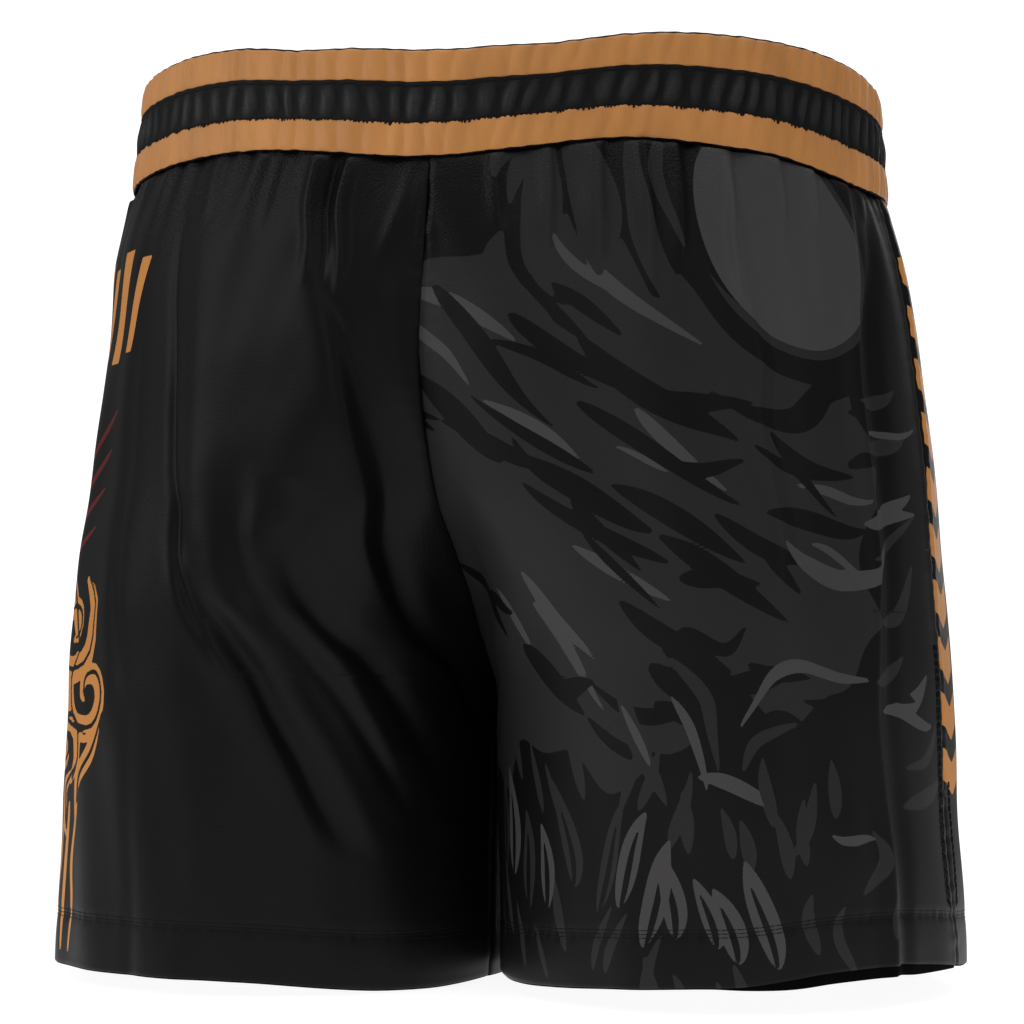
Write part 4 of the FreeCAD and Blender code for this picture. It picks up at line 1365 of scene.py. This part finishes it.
def build_label():
    """A blank tab that hangs from the waist seam inside the left back and curls away from it."""
    rows, columns = 40, 24
    H, X = np.meshgrid(np.linspace(299, 252, rows), np.linspace(19, 49, columns), indexing="ij")
    reach, inner, *_ = rings(H)
    turn = np.arccos(np.clip(((reach - inner) / 2 - X) / ((reach + inner) / 2), -1, 1))
    rise, aside = seam_turns(H, False)
    curl = 1.6 * smooth((275 - H) / 24) ** 2
    points = settle(panel_points(LEFT, "back", (turn - rise) / (aside - rise), H, -2.7 - curl)[0])
    uv = np.stack([X, H], -1) * MM
    thing = make("care_label_cloth", points, grid_faces(rows, columns), [label_satin], uv=uv)
    thicken(thing, THICKNESS["label"])
    declare(thing, "label_cloth", "care_label")


# ---------------------------------------------------------------- camera, floor and light

CAMERA = {"yaw": 15.5, "distance": 1.202, "height": 0.1116, "pitch": 3.16, "roll": 0.59, "lens": 105.8}
FLOOR_REACH = 860.0  # a round floor, so that less of its light strikes the cloth from below
FLOOR_HEIGHT = -0.0066  # just under the lowest hem
SPOKES = 64


def link(name, data):
    thing = bpy.data.objects.new(name, data)
    bpy.context.scene.collection.objects.link(thing)
    return thing


def build_camera():
    """The viewing angle: behind the wearer and a little to their right, low down, looking up slightly."""
    turn, pitch, roll = math.radians(180 + CAMERA["yaw"]), math.radians(CAMERA["pitch"]), math.radians(CAMERA["roll"])
    right = Vector((math.cos(turn), math.sin(turn), 0))
    ahead = Vector((-math.sin(turn), math.cos(turn), 0))
    up = Vector((0, 0, 1))
    look = math.cos(pitch) * ahead + math.sin(pitch) * up
    above = -math.sin(pitch) * ahead + math.cos(pitch) * up
    level = math.cos(roll) * right + math.sin(roll) * above
    above = -math.sin(roll) * right + math.cos(roll) * above
    data = bpy.data.cameras.new("Camera")
    data.lens, data.sensor_width, data.clip_end = CAMERA["lens"], 36, 30
    camera = link("Camera", data)
    place = -ahead * CAMERA["distance"] + up * CAMERA["height"]
    camera.matrix_world = Matrix.Translation(place) @ Matrix((level, above, -look)).transposed().to_4x4()
    bpy.context.scene.camera = camera


def area_light(name, azimuth, height, distance, size, power):
    """A soft box aimed at the shorts. Azimuth 0 is behind the wearer; positive is towards their left."""
    a = math.radians(azimuth)
    place = Vector((math.sin(a) * distance, math.cos(a) * distance, height))
    data = bpy.data.lights.new(name, "AREA")
    data.shape, data.energy = "RECTANGLE", power
    data.size, data.size_y = size
    light = link(name, data)
    light.location = place
    light.rotation_euler = (Vector((0, 0, 0.17)) - place).to_track_quat("-Z", "Y").to_euler()


def build_floor():
    """A pale round floor that glows, so that the shorts throw hardly any shadow on it."""
    turn = np.linspace(0, 2 * np.pi, SPOKES, endpoint=False)
    rim = np.stack([FLOOR_REACH * np.cos(turn), FLOOR_REACH * np.sin(turn), 0 * turn], -1)
    pale = Nodes("Pale floor").finish(
        colour(0.3, 0.3, 0.3),
        0.9,
        Specular_IOR_Level=0.0,
        Emission_Color=colour(1, 1, 1),
        Emission_Strength=0.9,
    )
    rounds = np.concatenate([rim, rim * 0.5, np.zeros((SPOKES, 3))])
    floor = make("floor", rounds, grid_faces(3, SPOKES, closed=True, flip=True), [pale])
    floor.location.z = FLOOR_HEIGHT


def build_light():
    """A white studio: the world fills softly and is seen as pure white."""
    world = bpy.data.worlds.new("Studio")
    bpy.context.scene.world = world
    world.use_nodes = True
    tree = world.node_tree
    tree.nodes.clear()
    out, path, mix = (tree.nodes.new(f"ShaderNode{kind}") for kind in ("OutputWorld", "LightPath", "MixShader"))
    tree.links.new(path.outputs["Is Camera Ray"], mix.inputs[0])
    for socket, strength in ((1, 0.20), (2, 1.2)):
        glow = tree.nodes.new("ShaderNodeBackground")
        glow.inputs["Color"].default_value = (1, 1, 1, 1)
        glow.inputs["Strength"].default_value = strength
        tree.links.new(glow.outputs[0], mix.inputs[socket])
    tree.links.new(mix.outputs[0], out.inputs["Surface"])

    sun = bpy.data.lights.new("Overhead", "SUN")
    sun.energy, sun.angle = 1.8, math.radians(80)
    link("Overhead", sun)
    area_light("Key", 58, 0.9, 1.9, (1.3, 1.1), 10.0)
    area_light("Camera fill", -14, 0.9, 2.0, (0.6, 0.5), 3.0)
    area_light("Right fill", -64, 0.6, 1.9, (0.3, 1.1), 1.8)
    area_light("Front", 180, 0.8, 2.0, (1.4, 1.2), 7)
    bpy.context.scene.view_settings.view_transform = "Standard"


for panel_side in SIDES:
    for panel_place in ("back", "front"):
        build_panel(panel_side, panel_place)
build_waistband()
build_stitching()
build_overlocks()
build_pockets()
build_label()
build_camera()
build_floor()
build_light()
